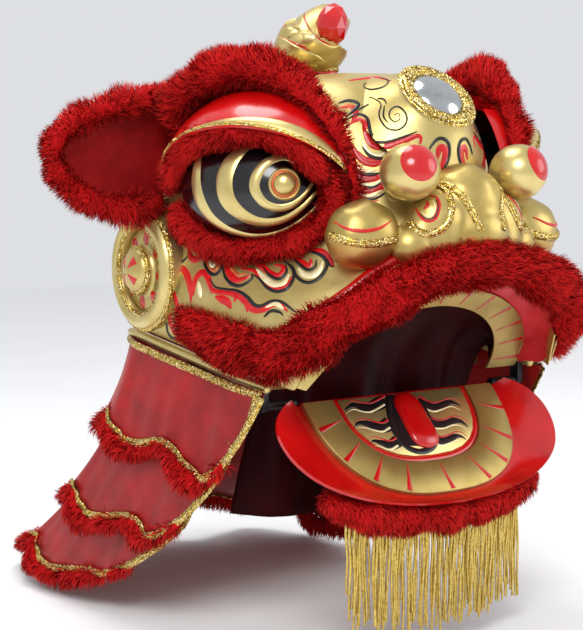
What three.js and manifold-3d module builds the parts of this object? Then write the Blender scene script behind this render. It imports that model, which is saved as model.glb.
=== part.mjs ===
// A lion dance head: a hollow gold hood with a horn, mirror, eyes with swinging lids, wagging ears,
// a hinged jaw, fur trims and a tiered cape. Millimetres, +Z up. The lion faces -Y, its left is +X.
// The origin is the middle of the hand bar that carries the head.
import * as THREE from 'three';
import { mergeVertices } from 'three/addons/utils/BufferGeometryUtils.js';
import Module from 'manifold-3d';

const wasm = await Module();
wasm.setup();

const GAP = 0.35;             // clearance between pieces that touch
const WALL = 5;               // papier-mache wall of the hood
const CLOTH = 2.4;            // thickness of a cape tier
const SHELL_STEPS = 2;        // facets between two rows or columns of the hood's table

// Outer face of the hood. A row for each section from the back rim to the lip,
// with half a section's points from the top line down to the lower rim.
const HOOD = [
  { name: 'back', top: [0, 190, 340], shoulder: [118, 192, 322], temple: [205, 194, 268],
    socket: [242, 192, 170], cheek: [246, 188, 110], rim: [240, 180, 55] },
  { name: 'ear', top: [0, 95, 386], shoulder: [120, 92, 374], temple: [222, 78, 326],
    socket: [248, 68, 178], cheek: [262, 62, 110], rim: [243, 52, 36] },
  { name: 'rear of eye', top: [0, 35, 395], shoulder: [118, 28, 388], temple: [207, 12, 344],
    socket: [224, 2, 172], cheek: [262, -14, 105], rim: [242, -14, 25] },
  { name: 'eye', top: [0, -22, 398], shoulder: [108, -30, 392], temple: [184, -42, 350],
    socket: [202, -54, 168], cheek: [256, -75, 100], rim: [240, -66, 16] },
  { name: 'front of eye', top: [0, -94, 396], shoulder: [88, -96, 388], temple: [154, -98, 340],
    socket: [184, -112, 162], cheek: [246, -120, 96], rim: [238, -106, 10] },
  { name: 'mirror', top: [0, -164, 346], shoulder: [76, -160, 335], temple: [122, -150, 292],
    socket: [166, -168, 152], cheek: [236, -154, 94], rim: [236, -134, 5] },
  { name: 'bridge', top: [0, -202, 276], shoulder: [62, -196, 264], temple: [106, -186, 226],
    socket: [168, -196, 134], cheek: [229, -176, 88], rim: [234, -152, 1] },
  { name: 'nose', top: [0, -236, 214], shoulder: [64, -234, 202], temple: [122, -222, 170],
    socket: [182, -214, 112], cheek: [225, -190, 68], rim: [230, -166, -2] },
  { name: 'lip', top: [0, -248, 162], shoulder: [72, -250, 150], temple: [136, -240, 120],
    socket: [192, -222, 80], cheek: [222, -200, 40], rim: [226, -176, -3] },
];
const COLUMNS = ['rim', 'cheek', 'socket', 'temple', 'shoulder', 'top'];

// Left eye. s runs forward along the lid's hinge line, d points out of the eye.
const EYE = { centre: [195, -50, 246], along: [-0.431, -0.902, 0], out: [0.902, -0.431, 0] };
const EYEBALL = { half: 100, radius: 69, wall: 4, behind: 18, pin: 4, pinReach: 136 };
const LID = { middle: 10, half: 138, lower: 117, upper: 130, lowAngle: 53, highAngle: 90, wall: 3,
  taper: 0.975 };
const LID_TAB = { width: 15, reach: 27, behind: 3, thick: 4 };   // joins each end of a lid to its pin
const LID_COLUMNS = 10;
const PUPIL = [
  { r: 0, y: -4 }, { r: 19, y: -4 }, { r: 20, y: 1 }, { r: 14, y: 7 }, { r: 7, y: 10 }, { r: 0, y: 11 },
];
const PUPIL_AT = { point: [69, 48, 6], facing: [0.55, 0.83, 0.1] };
const EYE_FUR = { middle: 6, half: 124, height: 77, depth: 20, radius: 20 };
const LASH = { middle: 8, half: 114, height: 83, depth: 53, radius: 17 };
const BROW = [
  { s: -128, z: 88, d: 0, r: 13 }, { s: -100, z: 122, d: 8, r: 21 }, { s: -52, z: 148, d: 14, r: 25 },
  { s: 0, z: 156, d: 16, r: 25 }, { s: 48, z: 140, d: 18, r: 24 }, { s: 92, z: 104, d: 20, r: 22 },
  { s: 126, z: 56, d: 20, r: 20 }, { s: 142, z: 6, d: 16, r: 17 }, { s: 146, z: -26, d: 10, r: 12 },
];

// Section of the moulding under the hood's rim: out from the rim, and up. It stops short of the lip.
const RAIL = [
  { x: -9, z: -0.5 }, { x: 3, z: -0.5 }, { x: 7, z: -5 }, { x: 5, z: -13 }, { x: -2, z: -16 },
  { x: -9, z: -13 },
];
const RAIL_STOP = 6;

const MIRROR = { centre: [0, -187, 366], tilt: 135, glass: 43, ring: 58, tube: 8, foot: 48 };
const HORN = { foot: [0, 52, 392] };
const HORN_COLLAR = [{ r: 0, y: -30 }, { r: 38, y: -30 }, { r: 36, y: 2 }, { r: 30, y: 8 }, { r: 0, y: 8 }];
const MEDALLION = { centre: [259, 114, 135], radius: 82, turn: 5, tube: 13, boss: 30, reach: 24 };
const BALL = { centre: [95, -239, 267], radius: 38, stalkFoot: [84, -188, 232], spring: 10 };
const DRUM_LUMP = { x: 141, y: -204, z: 188, rx: 46, ry: 32, rz: 40 };
const NOSE = [
  { x: 0, y: -232, z: 224, rx: 50, ry: 44, rz: 52, turn: 20 },
  { x: 50, y: -234, z: 203, rx: 38, ry: 34, rz: 37 },
  { x: 88, y: -230, z: 174, rx: 30, ry: 27, rz: 27 },
  { x: 0, y: -256, z: 190, rx: 44, ry: 30, rz: 34 },
  { x: 46, y: -244, z: 180, rx: 34, ry: 26, rz: 26 },
];
// Horn above its foot: sideways, up and half width.
const HORN_BODY = [
  { x: 0, z: 0, r: 21 }, { x: -6, z: 12, r: 22 }, { x: -24, z: 28, r: 48 }, { x: -26, z: 48, r: 53 },
  { x: -12, z: 68, r: 49 }, { x: 4, z: 86, r: 37 }, { x: 12, z: 99, r: 22 }, { x: 14, z: 106, r: 8 },
];
const HORN_FOLD = { count: 4, depth: 0.16, twist: 4, flat: 0.85 };
const HORN_GEM = { centre: [0, 38, 474], radius: 26, turn: 20 };

// Upper lip fur: its middle line from the cheek round to the middle of the lip.
const LIP = [
  { x: 250, y: 22, z: 82, r: 20 }, { x: 258, y: -25, z: 62, r: 29 }, { x: 252, y: -80, z: 48, r: 32 },
  { x: 241, y: -130, z: 42, r: 32 }, { x: 232, y: -172, z: 46, r: 32 }, { x: 220, y: -212, z: 68, r: 31 },
  { x: 184, y: -246, z: 98, r: 29 }, { x: 100, y: -268, z: 138, r: 28 }, { x: 0, y: -272, z: 154, r: 28 },
];

// Upper gum: a flat arch rising forward from the corners of the mouth.
const GUM = { y: -112, z: -8, tilt: 52, outerHalf: 222, outerRise: 158, innerHalf: 166, innerRise: 128,
  wall: 4, power: 1.9 };
const LINING = { wall: 2, sag: 20, room: 2.6, back: 0.1 };
const JAW = { y: -110, z: -28, tilt: 48, wall: 5, flare: 14, rear: 164, pin: 6, knuckle: 12 };
// Outline of the jaw plate: across, and forward from the hinge.
const JAW_EDGE = [
  { x: 190, q: 4 }, { x: 206, q: 12 }, { x: 226, q: 30 }, { x: 236, q: 60 }, { x: 228, q: 98 },
  { x: 200, q: 132 }, { x: 148, q: 160 }, { x: 78, q: 177 }, { x: 0, q: 183 },
];
const JAW_GUM = { outerHalf: 168, outerReach: 156, innerHalf: 118, innerReach: 108, power: 2.6, wall: 7 };
const PANEL = { inset: 9, wall: 5 };
const KNUCKLE = { x: 184, width: 18 };
const BRACKET = { inner: 222.5, outer: 232, width: 16, top: 26 };
const JAW_FUR = { from: 125, scale: 0.9, radius: 21 };
const CURTAIN = { half: 192, rise: 142, wall: 1.6, fold: 5, wing: 70 };
const CURTAIN_ROWS = [
  { y: 0, z: 0, keep: 1, wing: 0 }, { y: -78, z: 40, keep: 0.55, wing: 0 },
  { y: -76, z: 10, keep: 0.12, wing: 0.1 }, { y: -72, z: -60, keep: 0, wing: 0.5 },
  { y: -66, z: -130, keep: 0, wing: 0.8 }, { y: -60, z: -190, keep: 0, wing: 1 },
];
const TONGUE = { middle: 52, half: 38, width: 21, rise: 9 };
const FRINGE = { strips: 13, length: 142, thick: 5 };

// Cape: its upper edge in half plan from the mouth's corner to the middle of the back.
const CAPE = [
  { x: 246, y: -140, z: -8, out: [1, -0.1] }, { x: 248, y: -80, z: 0, out: [1, -0.02] },
  { x: 251, y: 10, z: 14, out: [1, 0] }, { x: 252, y: 90, z: 27, out: [1, 0.05] },
  { x: 247, y: 160, z: 38, out: [0.95, 0.3] }, { x: 205, y: 205, z: 44, out: [0.6, 0.8] },
  { x: 110, y: 226, z: 48, out: [0.2, 0.98] }, { x: 0, y: 232, z: 50, out: [0, 1] },
];
const CAPE_COLUMNS = 14;
const CAPE_LOBES = 3.5;       // scallops in half a tier
const CAPE_FRONT = 0.14;      // part of the edge over which a tier is drawn up to the mouth
const FLARE = 0.14;           // how much wider the cape gets for each millimetre it falls
// How the cape trails back as it falls: at its top, lower down at the sides, and more behind.
const SWEEP = { start: 0.2, side: 0.42, rear: 0.2, rearFrom: 0.7, drop: 290 };
// Each tier hangs from the cloth of the one above, at its seat, and runs further in at its inset.
const TIERS = [
  { name: 'cape_tier_1', from: 0, start: 0, drop: 128, scallop: 34, seat: 0, inset: 0 },
  { name: 'cape_tier_2', from: 0.09, start: 66, drop: 180, scallop: 36, seat: 3.2, inset: 17 },
  { name: 'cape_tier_3', from: 0.15, start: 172, drop: 172, scallop: 36, seat: 20.2, inset: 34 },
];
const TIER_ROWS = [0, 0.2, 1];
const SEAT_DEPTH = 28;        // how far down a tier takes to reach its inset
// Section of the fur under a tier's edge: below the edge, and out of the cloth.
const TRIM = [
  { below: 0.5, out: -3 }, { below: 0.5, out: 3 }, { below: 14, out: 11 }, { below: 27, out: 0 },
  { below: 14, out: -11 },
];

const EAR = { root: [240, 84, 292], middle: 86, bow: 16, wall: 4, trim: 12, clearance: 0.96,
  furClearance: 3.2 };
// Outline of an ear's satin scoop seen from the front: out from the root, and up.
const EAR_EDGE = [
  { x: -44, z: 58 }, { x: 10, z: 58 }, { x: 56, z: 50 }, { x: 100, z: 36 }, { x: 136, z: 21 },
  { x: 155, z: 3 }, { x: 150, z: -16 }, { x: 128, z: -36 }, { x: 92, z: -55 }, { x: 50, z: -58 },
  { x: -14, z: -48 },
];

const BAR = { radius: 12, half: 226, plate: [12, 44, 70], plateAt: 231, plateUp: 20 };

const GOLD = { color: '#b89a4e', metalness: 0.85, roughness: 0.32 };
const BRAID = { color: '#a8893a', metalness: 0.7, roughness: 0.5 };
const FUR = { color: '#a3121a', metalness: 0, roughness: 0.95 };
const SATIN = { color: '#a11a24', metalness: 0, roughness: 0.45 };
const LACQUER = { color: '#b0121a', metalness: 0, roughness: 0.12 };
const BLACK = { color: '#0c0b0b', metalness: 0, roughness: 0.08 };
const SILVER = { color: '#d8dcdf', metalness: 1, roughness: 0.06 };
const DARK = { color: '#2a0507', metalness: 0, roughness: 0.6 };

const radians = THREE.MathUtils.degToRad;
const head = new THREE.Group();

// A named mesh in the head.
function place(name, geometry, look) {
  const material = new THREE.MeshStandardMaterial({ side: THREE.DoubleSide, ...look });
  const mesh = new THREE.Mesh(geometry, material);
  mesh.name = name;
  head.add(mesh);
  return mesh;
}

// The same piece on both sides: as made on the left, mirrored on the right.
function placePair(name, geometry, look) {
  place(`${name}_left`, geometry, look);
  place(`${name}_right`, mirrored(geometry), look);
}

function mirrored(geometry) {
  const copy = geometry.clone();
  const position = copy.getAttribute('position');
  for (let i = 0; i < position.count; i++) position.setX(i, -position.getX(i));
  const index = Array.from(copy.index.array);
  for (let i = 0; i < index.length; i += 3) [index[i], index[i + 1]] = [index[i + 1], index[i]];
  copy.setIndex(index);
  return copy;
}

// A geometry with shared vertices and its faces pointing out.
function tidied(geometry) {
  const bare = geometry.clone();
  bare.deleteAttribute('normal');
  bare.deleteAttribute('uv');
  const merged = mergeVertices(bare, 1e-3);
  const [a, b, c] = [new THREE.Vector3(), new THREE.Vector3(), new THREE.Vector3()];
  const position = merged.getAttribute('position');
  let volume = 0;
  for (let i = 0; i < merged.index.count; i += 3) {
    [a, b, c].forEach((corner, k) => corner.fromBufferAttribute(position, merged.index.getX(i + k)));
    volume += a.dot(b.cross(c));
  }
  return volume < 0 ? flipped(merged) : merged;
}

// A turned solid round Y from a profile of radius and height.
function lathe(profile, sides) {
  return new THREE.LatheGeometry(profile.map(({ r, y }) => new THREE.Vector2(r, y)), sides);
}

// Joined and cut solids.
function toSolid(geometry) {
  const merged = tidied(geometry);
  return new wasm.Manifold(new wasm.Mesh({
    numProp: 3,
    vertProperties: new Float32Array(merged.getAttribute('position').array),
    triVerts: new Uint32Array(merged.index.array),
  }));
}

function toGeometry(solid) {
  const mesh = solid.getMesh();
  const geometry = new THREE.BufferGeometry();
  geometry.setAttribute('position', new THREE.BufferAttribute(mesh.vertProperties.slice(), 3));
  geometry.setIndex(new THREE.BufferAttribute(mesh.triVerts.slice(), 1));
  return geometry;
}

function cut(geometry, ...tools) {
  return toGeometry(tools.reduce((solid, tool) => solid.subtract(toSolid(tool)), toSolid(geometry)));
}

function join(...pieces) {
  return toGeometry(pieces.map(toSolid).reduce((a, b) => a.add(b)));
}

// A geometry with every corner moved out along its normal, the room that a neighbour leaves it.
function grown(geometry, amount = GAP) {
  const swollen = tidied(geometry);
  swollen.computeVertexNormals();
  const position = swollen.getAttribute('position');
  const normal = swollen.getAttribute('normal');
  for (let i = 0; i < position.count; i++) {
    position.setXYZ(i, position.getX(i) + amount * normal.getX(i),
      position.getY(i) + amount * normal.getY(i), position.getZ(i) + amount * normal.getZ(i));
  }
  return swollen;
}

// A piece cut clear of pieces that are already placed.
function clearOf(geometry, ...names) {
  const neighbours = names.map((name) => head.getObjectByName(name).geometry);
  return largest(cut(geometry, ...neighbours.map((shape) => grown(shape, 2 * GAP))));
}

// The largest body of a solid, without the crumbs that a cut leaves.
function largest(geometry) {
  const bodies = toSolid(geometry).decompose();
  bodies.sort((a, b) => b.volume() - a.volume());
  return toGeometry(bodies[0]);
}

// Indexed geometry from points and faces, turned so that its volume is positive.
function closedGeometry(points, faces) {
  let volume = 0;
  for (const [a, b, c] of faces) {
    volume += points[a].dot(new THREE.Vector3().crossVectors(points[b], points[c]));
  }
  const index = faces.flatMap(([a, b, c]) => (volume < 0 ? [a, c, b] : [a, b, c]));
  const geometry = new THREE.BufferGeometry();
  const numbers = points.flatMap((p) => p.toArray());
  geometry.setAttribute('position', new THREE.Float32BufferAttribute(numbers, 3));
  geometry.setIndex(index);
  return geometry;
}

// The two triangles of a facet, with the other diagonal past the middle so that both sides match.
function facet(a, b, c, d, turned) {
  return turned ? [[a, b, d], [b, c, d]] : [[a, b, c], [a, c, d]];
}

// A solid lofted through closed rings, with flat ends.
function loft(rings, middle = Infinity) {
  const sides = rings[0].length;
  const points = rings.flat();
  const faces = [];
  for (let i = 0; i + 1 < rings.length; i++) {
    for (let j = 0; j < sides; j++) {
      const a = i * sides + j;
      const b = i * sides + (j + 1) % sides;
      faces.push(...facet(a, b, b + sides, a + sides, j >= middle));
    }
  }
  const last = (rings.length - 1) * sides;
  const first = middleOf(rings[0]);
  const end = middleOf(rings[rings.length - 1]);
  points.push(first, end);
  for (let j = 0; j < sides; j++) {
    const k = (j + 1) % sides;
    faces.push([points.length - 2, k, j], [points.length - 1, last + j, last + k]);
  }
  return closedGeometry(points, faces);
}

// A closed wall between two grids of points with the same rows and columns.
function wall(outer, inner) {
  const rows = outer.length;
  const columns = outer[0].length;
  const points = [...outer.flat(), ...inner.flat()];
  const shift = rows * columns;
  const faces = [];
  const at = (i, j) => i * columns + j;
  for (let i = 0; i + 1 < rows; i++) {
    for (let j = 0; j + 1 < columns; j++) {
      const [a, b, c, d] = [at(i, j), at(i, j + 1), at(i + 1, j + 1), at(i + 1, j)];
      const under = [a, d, c, b].map((k) => k + shift);
      const turned = j >= (columns - 1) / 2;
      faces.push(...facet(a, b, c, d, turned), ...facet(...under, turned));
    }
  }
  const edge = [];
  for (let j = 0; j < columns; j++) edge.push(at(0, j));
  for (let i = 1; i < rows; i++) edge.push(at(i, columns - 1));
  for (let j = columns - 2; j >= 0; j--) edge.push(at(rows - 1, j));
  for (let i = rows - 2; i > 0; i--) edge.push(at(i, 0));
  edge.forEach((a, k) => {
    const b = edge[(k + 1) % edge.length];
    faces.push([b, a, a + shift], [b, a + shift, b + shift]);
  });
  return closedGeometry(points, faces);
}

function middleOf(ring) {
  const sum = new THREE.Vector3();
  ring.forEach((p) => sum.add(p));
  return sum.divideScalar(ring.length);
}

// A smooth value through the rows of a table, at t from 0 to 1.
function through(values, t) {
  const place = Math.min(t, 1) * (values.length - 1);
  const i = Math.min(Math.floor(place), values.length - 2);
  const f = place - i;
  const at = (k) => {
    if (k < 0) return 2 * values[0] - values[1];
    if (k >= values.length) return 2 * values[values.length - 1] - values[values.length - 2];
    return values[k];
  };
  const [a, b, c, d] = [at(i - 1), at(i), at(i + 1), at(i + 2)];
  return b + 0.5 * f * (c - a + f * (2 * a - 5 * b + 4 * c - d + f * (3 * (b - c) + d - a)));
}

// Offsets a grid of points along its own normals.
function offsetGrid(grid, distance) {
  return grid.map((row, i) => row.map((p, j) => {
    const along = grid[Math.min(i + 1, grid.length - 1)][j].clone().sub(grid[Math.max(i - 1, 0)][j]);
    const across = row[Math.min(j + 1, row.length - 1)].clone().sub(row[Math.max(j - 1, 0)]);
    return p.clone().addScaledVector(across.cross(along).normalize(), distance);
  }));
}

// A roll of fur along a path, with locks that stand out of it: rows of { point, radius }.
function furRoll(rows, sides = 7, lock = 0.14) {
  const rings = rows.map(({ point, radius }, i) => {
    const before = rows[Math.max(i - 1, 0)].point;
    const after = rows[Math.min(i + 1, rows.length - 1)].point;
    const along = after.clone().sub(before).normalize();
    const across = new THREE.Vector3(0, 0, 1).cross(along);
    if (across.lengthSq() < 1e-3) across.set(1, 0, 0).cross(along);
    across.normalize();
    const up = along.clone().cross(across);
    const swell = i % 2 ? 1 + lock : 1 - lock / 2;
    return Array.from({ length: sides }, (_, k) => {
      const a = 2 * Math.PI * (k + 0.5 * (i % 2)) / sides;
      return point.clone().addScaledVector(across, radius * swell * Math.cos(a))
        .addScaledVector(up, radius * swell * Math.sin(a));
    });
  });
  return loft(rings);
}

// Points and radii along a table's smooth line.
function alongTable(table, steps, keys, toPoint) {
  return Array.from({ length: steps + 1 }, (_, i) => {
    const at = (key) => through(table.map((row) => row[key]), i / steps);
    const value = Object.fromEntries(keys.map((key) => [key, at(key)]));
    return { point: toPoint(value), radius: value.r };
  });
}

function bothSides(half) {
  const other = half.slice(0, -1).reverse().map(({ point, radius }) => (
    { point: point.clone().multiply(new THREE.Vector3(-1, 1, 1)), radius }));
  return [...half, ...other];
}

// The hood's outer face as a grid: rows from back to lip, columns from rim to rim.
function hoodGrid() {
  const rowSteps = (HOOD.length - 1) * SHELL_STEPS;
  const halfSteps = (COLUMNS.length - 1) * SHELL_STEPS;
  const grid = [];
  for (let i = 0; i <= rowSteps; i++) {
    const section = COLUMNS.map((column) => (
      [0, 1, 2].map((axis) => through(HOOD.map((row) => row[column][axis]), i / rowSteps))));
    const mirroredSection = section.slice(0, -1).reverse().map(([x, y, z]) => [-x, y, z]);
    const whole = [...section, ...mirroredSection];
    grid.push(Array.from({ length: 2 * halfSteps + 1 }, (_, j) => new THREE.Vector3(
      ...[0, 1, 2].map((axis) => through(whole.map((p) => p[axis]), j / (2 * halfSteps))))));
  }
  return grid;
}

// The hood filled in, to cut away what lies inside it.
function hoodFilled(grow) {
  const grid = offsetGrid(hoodGrid(), grow);
  return loft(grid, (grid[0].length - 1) / 2);
}

function inEye({ s, z, d }) {
  return new THREE.Vector3(...EYE.centre)
    .addScaledVector(new THREE.Vector3(...EYE.along), s)
    .addScaledVector(new THREE.Vector3(...EYE.out), d)
    .add(new THREE.Vector3(0, 0, z));
}

// A geometry made with x along s, y out of the eye and z up, brought to the left eye.
function toEye(geometry) {
  const matrix = new THREE.Matrix4().makeBasis(
    new THREE.Vector3(...EYE.along), new THREE.Vector3(...EYE.out), new THREE.Vector3(0, 0, 1));
  matrix.setPosition(...EYE.centre);
  const turned = geometry.clone().applyMatrix4(matrix);
  return matrix.determinant() < 0 ? flipped(turned) : turned;
}

function flipped(geometry) {
  const index = Array.from(geometry.index.array);
  for (let i = 0; i < index.length; i += 3) [index[i], index[i + 1]] = [index[i + 1], index[i]];
  geometry.setIndex(index);
  return geometry;
}

// The eyeball filled in, and as a hollow dome that is open behind.
function eyeballFilled(grow) {
  const ball = new THREE.SphereGeometry(1, 14, 8).rotateX(Math.PI / 2);
  return ball.scale(EYEBALL.half + grow, EYEBALL.radius + grow, EYEBALL.radius + grow);
}

function eyeballShape() {
  const behind = new THREE.BoxGeometry(300, 200, 300).translate(0, -100 - EYEBALL.behind, 0);
  const room = new THREE.SphereGeometry(1, 8, 6).rotateX(Math.PI / 2);
  room.scale(EYEBALL.half - EYEBALL.wall, EYEBALL.radius - EYEBALL.wall, EYEBALL.radius - EYEBALL.wall);
  const hollow = cut(eyeballFilled(0), room, behind);
  return join(hollow, pinAlong(EYEBALL.pinReach, EYEBALL.pin));
}

// Distance of the lid's face from its hinge line, at k from 0 at its lower edge to 1 at its upper.
function lidRadius(s, k) {
  const across = (s - LID.middle) / LID.half;
  return (LID.lower + (LID.upper - LID.lower) * k) * Math.sqrt(Math.max(1 - across * across, 0));
}

function lidStation(i) {
  return LID.middle + LID.half * LID.taper * Math.sin(radians(-90 + 180 * i / LID_COLUMNS));
}

// The space that the lid sweeps, a melon round its hinge line.
function lidSweep(grow) {
  const profile = [new THREE.Vector2(0, LID.middle - LID.half - grow)];
  for (let i = 0; i <= LID_COLUMNS; i++) {
    const s = lidStation(i);
    profile.push(new THREE.Vector2(lidRadius(s, 1) + grow, s));
  }
  profile.push(new THREE.Vector2(0, LID.middle + LID.half + grow));
  const melon = new THREE.LatheGeometry(profile, 24);
  melon.rotateZ(-Math.PI / 2);
  return melon;
}

// The lid between two distances from its own face, from one angle round its hinge line to another.
function lidWall(over, under, lowAngle) {
  const rows = 2;
  const grid = (shift) => Array.from({ length: LID_COLUMNS + 1 }, (_, i) => (
    Array.from({ length: rows + 1 }, (__, j) => {
      const a = radians(lowAngle + (LID.highAngle - lowAngle) * j / rows);
      const r = lidRadius(lidStation(i), j / rows) + shift;
      return new THREE.Vector3(lidStation(i), r * Math.cos(a), r * Math.sin(a));
    })));
  return wall(grid(over), grid(under));
}

// A half ring of fur round the eye, from one angle to another.
function eyeRing(shape, from, to, steps) {
  const rows = Array.from({ length: steps + 1 }, (_, i) => {
    const f = i / steps;
    const a = radians(from + (to - from) * f);
    const ends = Math.min(1, 0.5 + 3.2 * Math.min(f, 1 - f));
    return {
      point: new THREE.Vector3(shape.middle + shape.half * Math.cos(a),
        shape.depth * (0.35 + 0.65 * Math.abs(Math.sin(a))), shape.height * Math.sin(a)),
      radius: shape.radius * ends,
    };
  });
  return furRoll(rows, 5);
}

function addEyes(filled) {
  const ball = clearOf(toEye(eyeballShape()), 'hood');
  placePair('eyeball', ball, BLACK);
  const facing = new THREE.Quaternion().setFromUnitVectors(new THREE.Vector3(0, 1, 0),
    new THREE.Vector3(...PUPIL_AT.facing).normalize());
  const pupil = lathe(PUPIL, 10).applyQuaternion(facing).translate(...PUPIL_AT.point);
  placePair('pupil', largest(cut(toEye(pupil), toEye(eyeballFilled(GAP)))), GOLD);

  const pin = pinAlong(EYEBALL.pinReach, EYEBALL.pin + GAP);
  const tabs = [lidStation(0) + LID_TAB.thick / 2, lidStation(LID_COLUMNS) - LID_TAB.thick / 2].map(lidTab);
  const lid = largest(cut(join(lidWall(0, -LID.wall, LID.lowAngle), ...tabs), pin));
  placePair('eyelid', clearOf(toEye(lid), 'hood'), LACQUER);
  const above = lidWall(30, -LID.wall - GAP, LID.lowAngle - 0.4);
  const lash = largest(cut(eyeRing(LASH, 10, 170, 10), above, eyeballFilled(GAP), pin));
  placePair('eyelid_fur', clearOf(toEye(lash), 'eyelid_left'), FUR);
  const lower = eyeRing(EYE_FUR, 196, 344, 10);
  placePair('eye_fur', largest(cut(toEye(lower), filled, toEye(eyeballFilled(GAP)))), FUR);

  const brow = furRoll(alongTable(BROW, 13, ['s', 'z', 'd', 'r'], inEye), 5);
  placePair('brow_fur', largest(cut(brow, filled, toEye(lidSweep(3.5)))), FUR);
}

// An end plate that carries the lid on its pin.
function lidTab(s) {
  const tab = new THREE.BoxGeometry(LID_TAB.thick, LID_TAB.reach + LID_TAB.behind, LID_TAB.width);
  tab.translate(0, (LID_TAB.reach - LID_TAB.behind) / 2, 0);
  return tab.rotateX(radians((LID.lowAngle + LID.highAngle) / 2)).translate(s, 0, 0);
}

function pinAlong(reach, radius) {
  const pin = new THREE.CylinderGeometry(radius, radius, 2 * reach, 8);
  return pin.rotateZ(Math.PI / 2).translate(LID.middle * 0.9, 0, 0);
}

function addHood() {
  const outer = hoodGrid();
  const shell = wall(outer, offsetGrid(outer, -WALL));
  const hole = tidied(toEye(eyeballFilled(2 * GAP)));
  place('hood', largest(cut(shell, hole, mirrored(hole))), GOLD);
}

// The moulding under the hood's lower rim, round both sides.
function addRails() {
  const rim = hoodGrid().map((row) => row[row.length - 1].clone().setX(Math.abs(row[row.length - 1].x)));
  const rail = loft(rim.slice(0, -RAIL_STOP).map((p) => (
    RAIL.map(({ x, z }) => new THREE.Vector3(p.x + x, p.y, p.z + z)))));
  placePair('rail', rail, GOLD);
}

function addMirror(filled) {
  const { centre, tilt, glass, ring, tube, foot } = MIRROR;
  const bring = (geometry) => geometry.rotateX(radians(tilt)).translate(...centre);
  const hole = glass + GAP;
  const rim = lathe([{ r: hole, y: -foot }, { r: ring, y: -foot }, { r: ring + 1, y: 0 },
    { r: ring - 3, y: tube }, { r: glass + 5, y: tube + 2 }, { r: hole, y: tube - 3 },
    { r: hole, y: -foot }], 16);
  place('mirror_ring', largest(cut(bring(rim), filled)), BRAID);
  const disc = lathe([{ r: 0, y: -4 }, { r: glass, y: -4 }, { r: glass, y: 0 }, { r: glass * 0.7, y: 6 },
    { r: glass * 0.35, y: 9.5 }, { r: 0, y: 10.5 }], 16);
  place('mirror', largest(cut(bring(disc), filled)), SILVER);
}

// The horn: a collar, a neck and a bud of wrapped petals that leans over, with a red gem.
function addHorn(filled) {
  const foot = new THREE.Vector3(...HORN.foot);
  const collar = lathe(HORN_COLLAR, 18).rotateX(Math.PI / 2).translate(...HORN.foot);
  place('horn_collar', largest(cut(collar, filled)), GOLD);
  const turns = 8;
  const sides = 10;
  const rings = Array.from({ length: turns + 1 }, (_, i) => {
    const f = i / turns;
    const radius = through(HORN_BODY.map((row) => row.r), f);
    const middle = new THREE.Vector3(foot.x + through(HORN_BODY.map((row) => row.x), f),
      foot.y, foot.z + 8 + GAP + through(HORN_BODY.map((row) => row.z), f));
    return Array.from({ length: sides }, (__, k) => {
      const a = 2 * Math.PI * k / sides;
      const wave = Math.cos(HORN_FOLD.count * a + HORN_FOLD.twist * f) * Math.sin(Math.PI * f);
      const reach = radius * (1 + HORN_FOLD.depth * wave);
      const out = new THREE.Vector3(reach * Math.cos(a), HORN_FOLD.flat * reach * Math.sin(a), 0);
      return middle.clone().add(out);
    });
  });
  const gem = new THREE.IcosahedronGeometry(HORN_GEM.radius, 1);
  gem.scale(0.8, 0.8, 1.15).rotateY(radians(HORN_GEM.turn)).translate(...HORN_GEM.centre);
  const seat = new THREE.IcosahedronGeometry(HORN_GEM.radius + GAP, 1);
  seat.scale(0.8, 0.8, 1.15).rotateY(radians(HORN_GEM.turn)).translate(...HORN_GEM.centre);
  place('horn', largest(cut(loft(rings), seat)), GOLD);
  place('horn_gem', tidied(gem), LACQUER);
}

// A medallion on each cheek: a smooth ring and a raised boss in its middle.
function addMedallions(filled) {
  const { centre, radius, turn, tube, boss, reach } = MEDALLION;
  const bring = (geometry) => geometry.rotateZ(-Math.PI / 2).rotateZ(radians(turn)).translate(...centre);
  const inside = radius - 2 * tube;
  const ring = lathe([{ r: inside, y: -30 }, { r: radius - 2, y: -30 }, { r: radius, y: -2 },
    { r: radius - 0.6 * tube, y: 0.8 * tube }, { r: radius - 1.4 * tube, y: 0.8 * tube },
    { r: inside, y: -4 }, { r: inside, y: -30 }], 16);
  placePair('medallion_ring', largest(cut(bring(ring), filled)), GOLD);
  const rim = inside - 2 * GAP;
  const dome = lathe([{ r: 0, y: -30 }, { r: rim, y: -30 }, { r: rim, y: -4 }, { r: boss + 3, y: -1 },
    { r: boss, y: 2 }, { r: boss - 2, y: 0.6 * reach }, { r: 0.5 * boss, y: reach },
    { r: 0, y: reach + 1 }], 16);
  placePair('medallion_boss', largest(cut(bring(dome), filled)), GOLD);
}

// The balls on springs at each side of the nose.
function addBalls(filled) {
  const { centre, radius, stalkFoot, spring } = BALL;
  const ball = new THREE.SphereGeometry(radius, 12, 8);
  ball.scale(1, 1, 0.95).translate(...centre);
  placePair('feeler_ball', tidied(ball), GOLD);
  const from = new THREE.Vector3(...stalkFoot);
  const to = new THREE.Vector3(...centre);
  const along = to.clone().sub(from);
  const stalk = new THREE.CylinderGeometry(spring, spring, along.length(), 8);
  const upright = new THREE.Vector3(0, 1, 0);
  stalk.applyQuaternion(new THREE.Quaternion().setFromUnitVectors(upright, along.clone().normalize()));
  stalk.translate(...from.clone().add(to).multiplyScalar(0.5));
  const room = new THREE.SphereGeometry(radius + GAP, 12, 8);
  room.scale(1, 1, 0.95).translate(...centre);
  placePair('feeler_spring', largest(cut(stalk, filled, room)), BRAID);
}

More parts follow.
